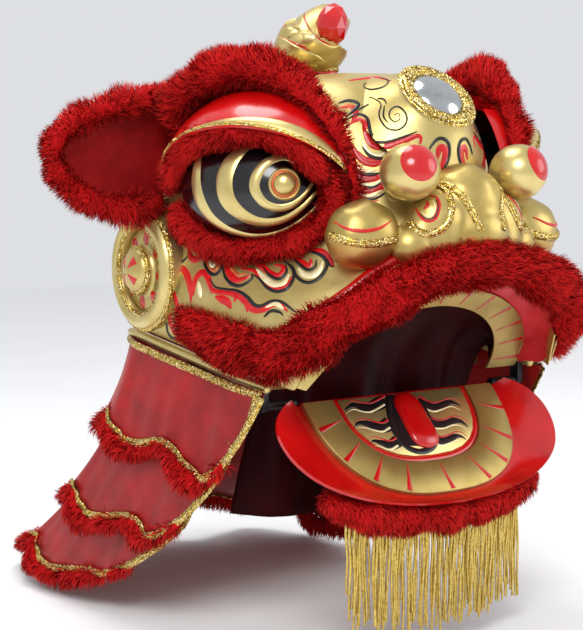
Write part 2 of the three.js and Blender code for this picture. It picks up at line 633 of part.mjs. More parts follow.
// The folded nose: a middle lobe, two nostril wings and the cheek drums beside them.
function lump({ x, y, z, rx, ry, rz, turn = 0 }, grow = 0) {
  const shape = new THREE.SphereGeometry(1, 8, 6);
  return shape.scale(rx + grow, ry + grow, rz + grow).rotateX(radians(turn)).translate(x, y, z);
}

function addNose(filled) {
  const both = (shape) => [shape, { ...shape, x: -shape.x }];
  const solids = NOSE.flatMap((row) => (row.x ? both(row) : [row]));
  const nose = join(...solids.map((row) => lump(row)));
  const lipRoom = lipRoll(GAP);
  place('nose', largest(cut(nose, filled, lipRoom)), GOLD);
  const around = join(...solids.map((row) => lump(row, GAP)));
  const drum = largest(cut(lump(DRUM_LUMP), filled, around, lipRoom));
  placePair('cheek_drum', clearOf(drum, 'brow_fur_left', 'eye_fur_left'), GOLD);
}

function lipRoll(grow) {
  const half = alongTable(LIP, 11, ['x', 'y', 'z', 'r'], ({ x, y, z }) => new THREE.Vector3(x, y, z));
  return furRoll(bothSides(half).map(({ point, radius }) => ({ point, radius: radius + grow })), 6);
}

function addLip(filled) {
  const roll = largest(cut(lipRoll(0), filled, gumPlate(GAP)));
  place('lip_fur', clearOf(roll, 'rail_left', 'rail_right'), FUR);
}

// The arch of the upper gum, a flat band in a plane that rises forward.
function archPoint(half, rise, a, lift, spec) {
  const t = radians(spec.tilt);
  const x = half * Math.sign(Math.sin(a)) * Math.abs(Math.sin(a)) ** (2 / spec.power);
  const q = rise * Math.abs(Math.cos(a)) ** (2 / spec.power);
  return new THREE.Vector3(x, spec.y - q * Math.cos(t) + lift * Math.sin(t),
    spec.z + q * Math.sin(t) + lift * Math.cos(t));
}

function gumPlate(grow) {
  const steps = 16;
  const rings = Array.from({ length: steps + 1 }, (_, i) => {
    const a = radians(-90 + 180 * i / steps);
    const outside = (lift) => archPoint(GUM.outerHalf + grow, GUM.outerRise + grow, a, lift, GUM);
    const inside = (lift) => archPoint(GUM.innerHalf - grow, GUM.innerRise - grow, a, lift, GUM);
    return [outside(-grow), outside(GUM.wall + grow), inside(GUM.wall + grow), inside(-grow)];
  });
  return loft(rings);
}

function addGum() {
  place('upper_gum', clearOf(gumPlate(0), 'hood'), GOLD);
  const [beforeLip, lip] = offsetGrid(hoodGrid(), -WALL - LINING.room).slice(-2);
  const lipEdge = lip.map((p, i) => p.clone().lerp(beforeLip[i], LINING.back)).reverse();
  const steps = 10;
  const grid = (lift) => Array.from({ length: steps + 1 }, (_, i) => {
    const f = i / steps;
    const a = radians(-90 + 180 * f);
    const from = archPoint(GUM.outerHalf - 3, GUM.outerRise - 3, a, GUM.wall + GAP + lift, GUM);
    const to = new THREE.Vector3(...['x', 'y', 'z'].map((axis) => through(lipEdge.map((p) => p[axis]), f)));
    return [0, 0.5, 1].map((k) => (
      from.clone().lerp(to, k).add(new THREE.Vector3(0, lift * k, LINING.sag * k * (1 - k)))));
  });
  place('lip_lining', clearOf(wall(grid(0), grid(LINING.wall)), 'hood', 'upper_gum'), SATIN);
}

// Points of the jaw's plane: across, forward from the hinge, and lifted off the plate.
function onJaw(x, q, lift) {
  const t = radians(JAW.tilt);
  return new THREE.Vector3(x, JAW.y - q * Math.cos(t) - lift * Math.sin(t),
    JAW.z - q * Math.sin(t) + lift * Math.cos(t));
}

function jawOutline(steps) {
  const half = Array.from({ length: steps + 1 }, (_, i) => (
    ['x', 'q'].map((key) => through(JAW_EDGE.map((row) => row[key]), i / steps))));
  half[steps][0] = 0;
  return [...half, ...half.slice(0, -1).reverse().map(([x, q]) => [-x, q])];
}

// The jaw's plate: flat under the gum, then flared to its rim.
function jawPlate() {
  const half = 9;
  const edge = jawOutline(half);
  const gum = jawArch(JAW_GUM.outerHalf + 3, JAW_GUM.outerReach + 3, edge.length - 1).reverse();
  const grid = (lift) => [0, 0.5, 1, 1.5, 2].map((reach) => edge.map(([x, q], j) => {
    const rear = [JAW.rear * Math.cos(Math.PI * j / (2 * half)), JAW_EDGE[0].q - 3];
    const [from, to] = reach < 1 ? [rear, gum[j]] : [gum[j], [x, q]];
    const part = reach < 1 ? reach : reach - 1;
    return onJaw(from[0] + (to[0] - from[0]) * part, from[1] + (to[1] - from[1]) * part,
      lift + (reach > 1 ? JAW.flare * part ** 1.4 : 0));
  }));
  return wall(grid(0), grid(-JAW.wall));
}

function alongHinge(radius, from, to) {
  const rod = new THREE.CylinderGeometry(radius, radius, to - from, 10);
  return rod.rotateZ(Math.PI / 2).translate((from + to) / 2, JAW.y, JAW.z);
}

// The jaw's plate with its hinge knuckles, and what lies on it.
function addJaw() {
  const { x, width } = KNUCKLE;
  const knuckles = [x, -x].map((at) => alongHinge(JAW.knuckle, at - width / 2, at + width / 2));
  const bores = [x, -x].map((at) => alongHinge(JAW.pin + GAP, at - width, at + width));
  place('jaw', largest(cut(join(jawPlate(), ...knuckles), ...bores)), LACQUER);
  place('jaw_gum', jawBand(JAW_GUM), GOLD);
  const inset = jawArch(JAW_GUM.innerHalf - PANEL.inset, JAW_GUM.innerReach - PANEL.inset);
  const faces = [GAP, PANEL.wall].map((lift) => inset.map(([px, q]) => onJaw(px, q, lift)));
  place('jaw_panel', loft(faces), GOLD);
  const dome = new THREE.SphereGeometry(1, 12, 8);
  dome.scale(TONGUE.width, TONGUE.half, TONGUE.rise).rotateX(radians(JAW.tilt)).translate(
    ...onJaw(0, TONGUE.middle, PANEL.wall));
  place('tongue', clearOf(dome, 'jaw_panel'), LACQUER);
}

// A U on the jaw's plane, from corner to corner of the mouth.
function jawArch(half, reach, steps = 14) {
  return Array.from({ length: steps + 1 }, (_, i) => {
    const a = radians(-90 + 180 * i / steps);
    return [half * Math.sign(Math.sin(a)) * Math.abs(Math.sin(a)) ** (2 / JAW_GUM.power),
      JAW_EDGE[0].q + 2 + reach * Math.abs(Math.cos(a)) ** (2 / JAW_GUM.power)];
  });
}

// The lower gum, a flat U-shaped band.
function jawBand(spec) {
  const outline = jawArch(spec.outerHalf, spec.outerReach);
  const inline = jawArch(spec.innerHalf, spec.innerReach);
  return loft(outline.map(([x, q], i) => [[x, q, GAP], [x, q, spec.wall], [...inline[i], spec.wall],
    [...inline[i], GAP]].map((at) => onJaw(...at))));
}

// The fur under the jaw's rim and the fringe that hangs from it.
function addJawTrim() {
  const steps = 18;
  const path = jawOutline(steps).filter(([, q]) => q > JAW_FUR.from).map(([x, q]) => (
    onJaw(x * JAW_FUR.scale, q * JAW_FUR.scale, 0).add(new THREE.Vector3(0, 8, -JAW_FUR.radius - 5))));
  const rows = path.map((point, i) => ({ point,
    radius: JAW_FUR.radius * Math.min(1, 0.55 + 0.25 * Math.min(i, path.length - 1 - i)) }));
  place('jaw_fur', clearOf(furRoll(rows, 6), 'jaw'), FUR);
  const columns = 2 * FRINGE.strips;
  const grid = (shift) => Array.from({ length: columns + 1 }, (_, i) => {
    const f = i / columns;
    const part = 0.12 + 0.76 * f;
    const at = new THREE.Vector3(...['x', 'y', 'z'].map((axis) => through(path.map((p) => p[axis]), part)));
    const length = FRINGE.length * (i % 2 ? 1 : 0.82) + 6 * Math.sin(5 * i);
    return [at.clone().add(new THREE.Vector3(0, 4 + shift, -JAW_FUR.radius * 0.6)),
      at.clone().add(new THREE.Vector3(0, 8 + shift, -JAW_FUR.radius * 0.6 - length))];
  });
  place('fringe', clearOf(wall(grid(0), grid(FRINGE.thick)), 'jaw_fur'), BRAID);
}

// Brackets that hold the jaw's pins under the hood's rim.
function addHinges() {
  const { inner, outer, width, top } = BRACKET;
  const plate = new THREE.BoxGeometry(outer - inner, width, top - JAW.z);
  plate.translate((inner + outer) / 2, JAW.y, (top + JAW.z) / 2);
  const foot = alongHinge(width / 2, inner, outer);
  const pin = alongHinge(JAW.pin, KNUCKLE.x - KNUCKLE.width / 2, outer - 1);
  const bracket = clearOf(join(plate, foot, pin), 'hood', 'rail_left', 'upper_gum', 'lip_lining');
  placePair('jaw_hinge', bracket, DARK);
}

// The dark cloth that closes the mouth from behind and hangs under it.
function addMouthCloth() {
  const steps = 12;
  const grid = (shift) => Array.from({ length: steps + 1 }, (_, i) => {
    const a = radians(-90 + 180 * i / steps);
    const start = archPoint(CURTAIN.half, CURTAIN.rise, a, GUM.wall + GAP + shift, GUM);
    const fold = CURTAIN.fold * Math.sin(2.2 * i);
    const sweep = CURTAIN.wing * Math.abs(Math.sin(a)) ** 6;
    return CURTAIN_ROWS.map(({ y, z, keep, wing }) => new THREE.Vector3(
      start.x * (0.98 + 0.02 * keep),
      start.y * keep + (y + fold + shift + sweep * wing) * (1 - keep),
      (start.z + shift) * keep + z * (1 - keep)));
  });
  const cloth = wall(grid(0), grid(CURTAIN.wall));
  place('mouth_cloth', clearOf(cloth, 'upper_gum', 'jaw_hinge_left', 'jaw_hinge_right', 'jaw'), DARK);
}

// A cape tier: cloth from its upper edge down and back, with a scalloped lower edge.
function capePoint(a, w, inset) {
  const [x, y, z] = ['x', 'y', 'z'].map((key) => through(CAPE.map((row) => row[key]), a));
  const out = new THREE.Vector2(...[0, 1].map((k) => through(CAPE.map((row) => row.out[k]), a))).normalize();
  const gain = SWEEP.side + SWEEP.rear * Math.min(1, a / SWEEP.rearFrom);
  const back = w * (SWEEP.start + gain * w / SWEEP.drop);
  return new THREE.Vector3(x + out.x * (FLARE * w - inset), y - out.y * inset + back, z - w);
}

// How far a tier hangs at a place along its edge: lobes, drawn up towards the mouth.
function tierDrop(tier, a) {
  const lobe = Math.abs(Math.sin(Math.PI * CAPE_LOBES * a));
  const front = Math.sin(Math.PI / 2 * Math.min(1, (a - tier.from) / CAPE_FRONT));
  return (tier.drop - tier.scallop + tier.scallop * lobe) * (0.03 + 0.97 * front);
}

function tierInset(tier, w) {
  return tier.seat + (tier.inset - tier.seat) * Math.min(1, (w - tier.start) / SEAT_DEPTH);
}

// A place along a tier, from 0 at the left front through 1 at the middle of the back.
function alongTier(tier, i) {
  const part = i <= CAPE_COLUMNS ? i / CAPE_COLUMNS : 2 - i / CAPE_COLUMNS;
  return tier.from + (1 - tier.from) * part;
}

function tierGrid(tier, shift) {
  return Array.from({ length: 2 * CAPE_COLUMNS + 1 }, (_, i) => {
    const a = alongTier(tier, i);
    return TIER_ROWS.map((part) => {
      const w = tier.start + tierDrop(tier, a) * part;
      const p = capePoint(a, w, tierInset(tier, w) + shift);
      return i > CAPE_COLUMNS ? p.setX(-p.x) : p;
    });
  });
}

function addCape() {
  TIERS.forEach((tier, i) => {
    const cloth = wall(tierGrid(tier, 0), tierGrid(tier, CLOTH));
    const above = i ? [TIERS[i - 1].name] : ['rail_left', 'rail_right', 'hood'];
    place(tier.name, clearOf(cloth, ...above), SATIN);
  });
  TIERS.forEach((tier, i) => {
    const inside = TIERS.slice(i + 1, i + 2).map(({ name }) => name);
    place(tier.name.replace('tier', 'fur'), clearOf(tierFur(tier), ...inside), FUR);
  });
}

// The fur under a tier's scalloped edge: its section hangs from the cloth and swells below it.
function tierFur(tier) {
  const edge = Array.from({ length: 2 * CAPE_COLUMNS + 1 }, (_, i) => i).slice(1, -1);
  return loft(edge.map((i) => {
    const a = alongTier(tier, i);
    const w = tier.start + tierDrop(tier, a);
    const lock = i % 2 ? 1.12 : 0.94;
    return TRIM.map(({ below, out }) => {
      const p = capePoint(a, w + below * (below > 2 ? lock : 1), tierInset(tier, w) + CLOTH / 2 - out);
      return i > CAPE_COLUMNS ? p.setX(-p.x) : p;
    });
  }));
}

// The ear's satin scoop, a bowed plate, and the fur round it.
function earPoint(x, z, lift) {
  const bow = EAR.bow * (1 - ((x - EAR.middle) / 110) ** 2) * (1 - (z / 75) ** 2);
  return new THREE.Vector3(EAR.root[0] + x, EAR.root[1] + bow + lift, EAR.root[2] + z);
}

function addEars() {
  const nearHood = hoodFilled(EAR.clearance);
  const steps = 16;
  const outline = Array.from({ length: steps }, (_, i) => [
    through(EAR_EDGE.map((row) => row.x), i / (steps - 1)),
    through(EAR_EDGE.map((row) => row.z), i / (steps - 1))]);
  const rings = (lift) => [1, 0.74, 0.48, 0.24, 0.04].map((f) => outline.map(([x, z]) => (
    earPoint(EAR.middle + (x - EAR.middle) * f, z * f - 2 * (1 - f), lift))));
  const scoop = loft([...rings(0).reverse(), ...rings(EAR.wall)]);
  placePair('ear', largest(cut(scoop, nearHood)), SATIN);
  const fur = outline.map(([x, z], i) => {
    const before = outline[Math.max(i - 1, 0)];
    const after = outline[Math.min(i + 1, steps - 1)];
    const side = new THREE.Vector2(after[0] - before[0], after[1] - before[1]).normalize();
    const reach = EAR.trim * 1.16 + 0.4;
    return { point: earPoint(x - side.y * reach, z + side.x * reach, EAR.wall / 2), radius: EAR.trim };
  });
  const roll = cut(furRoll(fur, 6), hoodFilled(EAR.furClearance));
  placePair('ear_fur', clearOf(roll, 'ear_left'), FUR);
}

// The bar across the hood that carries it, with a plate on each wall.
function addBar() {
  const bar = new THREE.CylinderGeometry(BAR.radius, BAR.radius, 2 * BAR.half, 16);
  bar.rotateZ(Math.PI / 2);
  const plate = new THREE.BoxGeometry(...BAR.plate);
  const plates = [BAR.plateAt, -BAR.plateAt].map((x) => plate.clone().translate(x, 0, BAR.plateUp));
  place('hand_bar', clearOf(join(bar, ...plates), 'hood', 'rail_left', 'rail_right'), DARK);
}

const filled = hoodFilled(GAP);
addHood();
addRails();
addMirror(filled);
addHorn(filled);
addEyes(filled);
addMedallions(filled);
addBalls(filled);
addNose(filled);
addLip(filled);
addGum();
addHinges();
addJaw();
addJawTrim();
addMouthCloth();
addCape();
addEars();
addBar();

export default head;
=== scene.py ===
# Lion dance head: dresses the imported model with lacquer, gold paint, fur, satin, braid and fringe.
# Metres, +Z up, the lion faces -Y. The lion's right side (x below 0) is the near side of the view.
import math

import bmesh
import bpy
import numpy as np
from mathutils import Matrix, Vector
from mathutils.bvhtree import BVHTree


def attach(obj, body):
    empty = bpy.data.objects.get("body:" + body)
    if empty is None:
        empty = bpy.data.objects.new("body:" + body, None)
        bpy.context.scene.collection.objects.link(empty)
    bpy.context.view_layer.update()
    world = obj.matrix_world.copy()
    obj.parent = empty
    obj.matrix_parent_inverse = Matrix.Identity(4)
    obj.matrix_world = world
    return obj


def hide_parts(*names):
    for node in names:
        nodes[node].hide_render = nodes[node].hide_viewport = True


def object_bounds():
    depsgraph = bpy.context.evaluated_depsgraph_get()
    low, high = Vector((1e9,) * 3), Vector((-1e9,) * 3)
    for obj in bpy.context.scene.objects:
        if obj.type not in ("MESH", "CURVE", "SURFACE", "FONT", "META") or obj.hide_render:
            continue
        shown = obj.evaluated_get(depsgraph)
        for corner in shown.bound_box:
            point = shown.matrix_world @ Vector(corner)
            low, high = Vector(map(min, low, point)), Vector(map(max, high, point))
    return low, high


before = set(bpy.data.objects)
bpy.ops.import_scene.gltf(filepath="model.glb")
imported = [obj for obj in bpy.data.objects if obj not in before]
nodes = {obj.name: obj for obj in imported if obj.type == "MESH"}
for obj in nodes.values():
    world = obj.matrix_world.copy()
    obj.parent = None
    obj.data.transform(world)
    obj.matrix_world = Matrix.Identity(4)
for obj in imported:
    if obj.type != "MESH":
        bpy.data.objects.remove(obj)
cadBox = [list(corner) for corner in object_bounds()]
mm = 0.001
chance = np.random.default_rng(7)
sides = (("Left", "left", 1), ("Right", "right", -1))  # the lion's own, with the sign of x
print("frame loaded:", len(nodes), "nodes")

# Camera: 38 degrees to the head's right and 5 degrees up, 2.4 m from a point inside the head
view = {"turn": -38.0, "rise": 5.0, "target": (0, 0.12, 0.06), "distance": 2.4,
        "pixel": 0.00145, "middle": (291.5, 315), "height": 630, "sensor": 36.0}


def viewBasis():
    a, e = math.radians(view["turn"]), math.radians(view["rise"])
    back = Vector((math.sin(a) * math.cos(e), -math.cos(a) * math.cos(e), math.sin(e)))
    right = Vector((math.cos(a), math.sin(a), 0))
    return right, back.cross(right), back


def addCamera():
    right, up, back = viewBasis()
    data = bpy.data.cameras.new("camera")
    data.sensor_width = view["sensor"]
    data.lens = view["sensor"] * view["distance"] / (view["pixel"] * view["height"])
    camera = bpy.data.objects.new("camera", data)
    turn = Matrix((right, up, back)).transposed().to_4x4()
    camera.matrix_world = Matrix.Translation(Vector(view["target"]) + back * view["distance"]) @ turn
    bpy.context.scene.collection.objects.link(camera)
    bpy.context.scene.camera = camera


def pixelRay(x, y):
    right, up, back = viewBasis()
    origin = Vector(view["target"]) + back * view["distance"]
    reach = view["distance"] / view["pixel"]
    towards = right * (x - view["middle"][0]) + up * (view["middle"][1] - y) - back * reach
    return origin, towards.normalized()


# Small helpers for objects

def deselect():
    if bpy.context.object and bpy.context.object.mode != "OBJECT":
        bpy.ops.object.mode_set(mode="OBJECT")
    bpy.ops.object.select_all(action="DESELECT")


def activate(piece):
    deselect()
    piece.select_set(True)
    bpy.context.view_layer.objects.active = piece


def applied(piece, kind, **settings):
    activate(piece)
    modifier = piece.modifiers.new(kind.lower(), kind)
    for name, value in settings.items():
        setattr(modifier, name, value)
    if hasattr(modifier, "render_levels"):
        modifier.levels = modifier.render_levels = settings.get("levels", 1)
    bpy.ops.object.modifier_apply(modifier=modifier.name)
    return piece


def settled(piece):  # the place goes into the mesh, the object to the origin
    activate(piece)
    bpy.ops.object.transform_apply(location=True, rotation=True, scale=True)
    return piece


def smoothShaded(piece, angle=None):
    activate(piece)
    if angle is None:
        bpy.ops.object.shade_smooth()
    else:
        bpy.ops.object.shade_smooth_by_angle(angle=math.radians(angle))
    return piece


def inEditMode(piece, *steps):  # mesh operators run on all of the piece, each given with its settings
    activate(piece)
    bpy.ops.object.mode_set(mode="EDIT")
    bpy.ops.mesh.select_all(action="SELECT")
    for operator, settings in steps:
        operator(**settings)
    bpy.ops.object.mode_set(mode="OBJECT")
    return piece


turnOutward = (bpy.ops.mesh.normals_make_consistent, {"inside": False})


def sealed(piece, reach):  # joins points nearer than reach, caps what is open, turns the faces outward
    return inEditMode(piece, (bpy.ops.mesh.remove_doubles, {"threshold": reach}),
                      (bpy.ops.mesh.fill_holes, {"sides": 0}), turnOutward)


def newPiece(name, mesh):
    piece = bpy.data.objects.new(name, mesh)
    bpy.context.scene.collection.objects.link(piece)
    return piece


def arrayMesh(name, points, triangles):
    mesh = bpy.data.meshes.new(name)
    mesh.vertices.add(len(points))
    mesh.vertices.foreach_set("co", np.asarray(points, np.float32).ravel())
    mesh.loops.add(3 * len(triangles))
    mesh.loops.foreach_set("vertex_index", np.asarray(triangles, np.int32).ravel())
    mesh.polygons.add(len(triangles))
    mesh.polygons.foreach_set("loop_start", np.arange(0, 3 * len(triangles), 3, dtype=np.int32))
    mesh.update(calc_edges=True)
    mesh.validate()
    return mesh


def mergedCopy(node, name):
    piece = newPiece(name, nodes[node].data.copy())
    piece.data.materials.clear()
    soup = bmesh.new()
    soup.from_mesh(piece.data)
    bmesh.ops.remove_doubles(soup, verts=soup.verts, dist=2e-5)
    soup.to_mesh(piece.data)
    soup.free()
    for layer in list(piece.data.uv_layers):
        piece.data.uv_layers.remove(layer)
    return piece


def roundedCopy(node, name, levels=2):  # quads again, then subdivided
    piece = mergedCopy(node, name)
    limits = {"face_threshold": math.radians(40), "shape_threshold": math.radians(60)}
    inEditMode(piece, (bpy.ops.mesh.tris_convert_to_quads, limits))
    return smoothShaded(applied(piece, "SUBSURF", levels=levels))


def bevelledCopy(node, name, width, angle):
    piece = mergedCopy(node, name)
    applied(piece, "BEVEL", width=width * mm, segments=2, limit_method="ANGLE")
    return smoothShaded(piece, angle)


def swollenCopy(node, name, gain):  # fuller by some millimetres, then softened until the lumps join
    piece = mergedCopy(node, name)
    applied(piece, "REMESH", mode="VOXEL", voxel_size=4 * mm, use_smooth_shade=True)
    applied(piece, "DISPLACE", strength=gain * mm, mid_level=0)
    applied(piece, "REMESH", mode="VOXEL", voxel_size=3.5 * mm, use_smooth_shade=True)
    return smoothShaded(applied(piece, "SMOOTH", factor=0.5, iterations=26))


def mirrorPiece(piece, name):
    copy = newPiece(name, piece.data.copy())
    copy.data.transform(Matrix.Scale(-1, 4, (1, 0, 0)))
    copy.data.flip_normals()
    return copy


def dress(piece, material, body, slot, *replaced):
    piece.data.materials.clear()
    piece.data.materials.append(material)
    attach(piece, body)
    if replaced:
        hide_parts(*replaced)
    return piece


def treeOf(*pieces):
    soup = bmesh.new()
    for piece in pieces:
        soup.from_mesh(piece.data)
    tree = BVHTree.FromBMesh(soup)
    soup.free()
    return tree


def through(values, t):  # a smooth value through the rows of a table, at t from 0 to 1
    place = min(t, 1) * (len(values) - 1)
    i = min(int(place), len(values) - 2)
    f = place - i
    line = [2 * values[0] - values[1], *values, 2 * values[-1] - values[-2]]
    a, b, c, d = line[i:i + 4]
    return b + 0.5 * f * (c - a + f * (2 * a - 5 * b + 4 * c - d + f * (3 * (b - c) + d - a)))


def tableAt(rows, t):  # every column of a table of rows, smoothly, at t from 0 to 1
    return [through(column, t) for column in zip(*rows)]


# Materials

def linear(colour):  # sRGB hex to linear
    parts = [int(colour[i:i + 2], 16) / 255 for i in (1, 3, 5)]
    return [c / 12.92 if c <= 0.04045 else ((c + 0.055) / 1.055) ** 2.4 for c in parts] + [1]


def addNode(tree, kind, settings=None, inputs=None, links=None):
    node = tree.nodes.new(kind)
    for name, value in (settings or {}).items():
        setattr(node, name, value)
    for name, value in (inputs or {}).items():
        node.inputs[name].default_value = value
    for name, source in (links or {}).items():
        tree.links.new(source, node.inputs[name])
    return node


def addRamp(tree, source, stops):
    ramp = addNode(tree, "ShaderNodeValToRGB", links={"Fac": source})
    elements = ramp.color_ramp.elements
    while len(elements) < len(stops):
        elements.new(0.5)
    for element, (place, colour) in zip(elements, stops):
        element.position = place
        element.color = linear(colour)
    return ramp.outputs["Color"]


def startMaterial(name, **inputs):
    material = bpy.data.materials.new(name)
    material.use_nodes = True
    tree = material.node_tree
    shader = next(node for node in tree.nodes if node.type == "BSDF_PRINCIPLED")
    for key, value in inputs.items():
        shader.inputs[key.replace("_", " ")].default_value = value
    return material, tree, shader


def mixColours(tree, factor, first, second):  # each is a socket or a hex value
    mix = addNode(tree, "ShaderNodeMixRGB", links={"Fac": factor})
    for socket, colour in zip(mix.inputs[1:3], (first, second)):
        if isinstance(colour, str):
            socket.default_value = linear(colour)
        else:
            tree.links.new(colour, socket)
    return mix.outputs["Color"]


def objectCoords(tree):
    return addNode(tree, "ShaderNodeTexCoord").outputs["Object"]


def addNoise(tree, coords, size, detail=3.0):  # size in metres of one blotch
    inputs = {"Scale": 1 / size, "Detail": detail, "Roughness": 0.55}
    return addNode(tree, "ShaderNodeTexNoise", inputs=inputs, links={"Vector": coords}).outputs["Fac"]


def addBump(tree, shader, height, distance):
    bump = addNode(tree, "ShaderNodeBump", inputs={"Distance": distance, "Strength": 1.0},
                   links={"Height": height})
    tree.links.new(bump.outputs["Normal"], shader.inputs["Normal"])


def goldPaint(name, pale, deep, roughness=0.3, undersideShade=False, ripple=0.0004):
    # satin gold paint on papier-mache: soft highlights, faint blotches where the coat is thinner
    material, tree, shader = startMaterial(name, Metallic=0.8)
    coords = objectCoords(tree)
    blotch = addNoise(tree, coords, 0.06)
    colour = addRamp(tree, blotch, [(0.3, deep), (0.62, pale)])
    if undersideShade:  # painted warm shade on the undersides: copper mixed in as the surface faces down
        normal = addNode(tree, "ShaderNodeNewGeometry").outputs["Normal"]
        height = addNode(tree, "ShaderNodeSeparateXYZ", links={"Vector": normal}).outputs["Z"]
        factor = addNode(tree, "ShaderNodeMapRange", inputs={"From Min": -0.15, "From Max": -0.85},
                         links={"Value": height}).outputs["Result"]
        colour = mixColours(tree, factor, colour, "#B4531A")
    tree.links.new(colour, shader.inputs["Base Color"])
    rough = addNode(tree, "ShaderNodeMapRange", inputs={"To Min": roughness - 0.05, "To Max": roughness + 0.09},
                    links={"Value": addNoise(tree, coords, 0.012)}).outputs["Result"]
    tree.links.new(rough, shader.inputs["Roughness"])
    addBump(tree, shader, addNoise(tree, coords, 0.018, 4), ripple)
    return material


def furMaterial(name, root, middle, tip):
    # dyed rabbit fur: matt hairs, darker at the roots as painted shade between the hairs, and paler at the tips
    material, tree, shader = startMaterial(name, Roughness=0.8, Sheen_Weight=0.1, Sheen_Roughness=0.5,
                                           Specular_IOR_Level=0.1)
    shader.inputs["Sheen Tint"].default_value = linear("#E8584C")
    uv = addNode(tree, "ShaderNodeUVMap", {"uv_map": "strand"}).outputs["UV"]
    split = addNode(tree, "ShaderNodeSeparateXYZ", links={"Vector": uv})
    along = addRamp(tree, split.outputs["Y"], [(0.0, root), (0.45, middle), (1.0, tip)])
    tuft = addNoise(tree, objectCoords(tree), 0.022, 2)
    shade = addNode(tree, "ShaderNodeMath", {"operation": "MULTIPLY_ADD"},
                    links={0: split.outputs["X"], 2: tuft})
    shade.inputs[1].default_value = 0.5
    value = addNode(tree, "ShaderNodeMapRange", inputs={"From Min": 0.35, "From Max": 1.1, "To Min": 0.84,
                                                       "To Max": 1.14}, links={"Value": shade.outputs[0]})
    hue = addNode(tree, "ShaderNodeHueSaturation", links={"Color": along, "Value": value.outputs["Result"]})
    tree.links.new(hue.outputs["Color"], shader.inputs["Base Color"])
    return material


def blotchedMaterial(name, colours, blotch, grain, **inputs):  # sizes in metres
    material, tree, shader = startMaterial(name, **inputs)
    coords = objectCoords(tree)
    colour = addRamp(tree, addNoise(tree, coords, blotch), [(0.3, colours[0]), (0.7, colours[1])])
    tree.links.new(colour, shader.inputs["Base Color"])
    size, height = grain
    addBump(tree, shader, addNoise(tree, coords, size, 3), height)
    return material


def glossMaterial(name, deep, pale, roughness=0.1, coat=1.0):  # lacquer, its coat levelled in faint waves
    return blotchedMaterial(name, (deep, pale), 0.05, (0.02, 0.00015), Roughness=roughness, Coat_Weight=coat,
                            Coat_Roughness=0.04)


def plainMaterial(name, deep, pale, roughness=0.5, metallic=0.0, blotch=0.01, grain=0.0002, gloss=0.5):
    return blotchedMaterial(name, (deep, pale), blotch, (blotch / 4, grain), Roughness=roughness,
                            Metallic=metallic, Specular_IOR_Level=gloss)


def satinMaterial(name, deep, pale, sheen=0.6, thread=0.0011, gloss=0.5):
    # satin: long floats of thread, a soft sheen along the folds (threads drawn coarse enough to show)
    material, tree, shader = startMaterial(name, Roughness=0.42, Sheen_Weight=sheen, Sheen_Roughness=0.35,
                                           Specular_IOR_Level=gloss)
    shader.inputs["Sheen Tint"].default_value = linear("#FF8A70")
    coords = objectCoords(tree)
    colour = addRamp(tree, addNoise(tree, coords, 0.04), [(0.3, deep), (0.7, pale)])
    tree.links.new(colour, shader.inputs["Base Color"])
    weave = addNode(tree, "ShaderNodeTexWave", {"wave_type": "BANDS", "bands_direction": "DIAGONAL"},
                    {"Scale": 0.05 / thread, "Distortion": 1.2, "Detail": 1.0}, {"Vector": coords})
    addBump(tree, shader, weave.outputs["Fac"], 0.00012)
    return material


def glitterMaterial(name, pale, deep):
    # metallic sequin dust: each facet a slightly different gold
    material, tree, shader = startMaterial(name, Metallic=1.0, Roughness=0.22)
    fleck = addNode(tree, "ShaderNodeTexVoronoi", inputs={"Scale": 1 / 0.0016},
                    links={"Vector": objectCoords(tree)}).outputs["Color"]
    value = addNode(tree, "ShaderNodeSeparateXYZ", links={"Vector": fleck}).outputs["X"]
    colour = addRamp(tree, value, [(0.0, deep), (0.6, pale), (1.0, "#FFF4C4")])
    tree.links.new(colour, shader.inputs["Base Color"])
    addBump(tree, shader, value, 0.0006)
    return material


shellGold = goldPaint("satinGoldPaint", "#D3BF7E", "#B9A25E", 0.36)
# nose and cheek drums: gold with painted warm shade on the undersides
noseGold = goldPaint("satinGoldPaintWithPaintedShade", "#C7B06C", "#A88F4A", 0.36, undersideShade=True)
brightGold = goldPaint("smoothGoldPaint", "#D8C585", "#C2AB66", 0.3, ripple=0.0001)
# a darker copy of the gold paint for the gums: painted shade inside the mouth
shadedGumGold = goldPaint("gumGoldPaintedShade", "#B49D5C", "#9C8548", 0.4, ripple=0.0001)
# the fur's root colour is painted shade between the hairs
redFur = furMaterial("dyedRabbitFur", "#A4090C", "#C61215", "#DE2C22")
redLacquer = glossMaterial("redLacquer", "#B00507", "#C90A0A", 0.22, 0.4)
blackLacquer = glossMaterial("blackLacquer", "#030305", "#08080C", 0.2, 0.25)
redSatin = satinMaterial("redSatin", "#84070B", "#A81215", 0.12, gloss=0.35)
# a darker copy of the red satin: painted shade inside the ear's scoop
earSatinPaintedShade = satinMaterial("earSatinPaintedShade", "#6E0407", "#920B0E", 0.1, gloss=0.25)
darkCloth = satinMaterial("darkMaroonCloth", "#1E0204", "#300306", 0.0, gloss=0.04)
glitter = glitterMaterial("goldSequinBraid", "#E0BE5A", "#8A6A1C")
redPaint = plainMaterial("redEnamelPaint", "#B80A10", "#D31A1C", 0.25)
blackPaint = plainMaterial("blackEnamelPaint", "#0A0A0C", "#15151A", 0.3)
creamPaint = plainMaterial("creamGoldPaint", "#EAD79A", "#F6ECC4", 0.35, 0.3)
copperPaint = plainMaterial("copperPaint", "#C4552C", "#DB7A48", 0.3, 0.4)
silverGlass = plainMaterial("silveredGlass", "#A4A9AC", "#CDD0D2", 0.14, 1.0, 0.03, 0.0001)
bullion = plainMaterial("goldBullionThread", "#B5933A", "#E2C972", 0.3, 0.75, 0.004, 0.0001)
barWood = plainMaterial("rattanCane", "#5A3418", "#8A5A2C", 0.6, 0.0, 0.006)
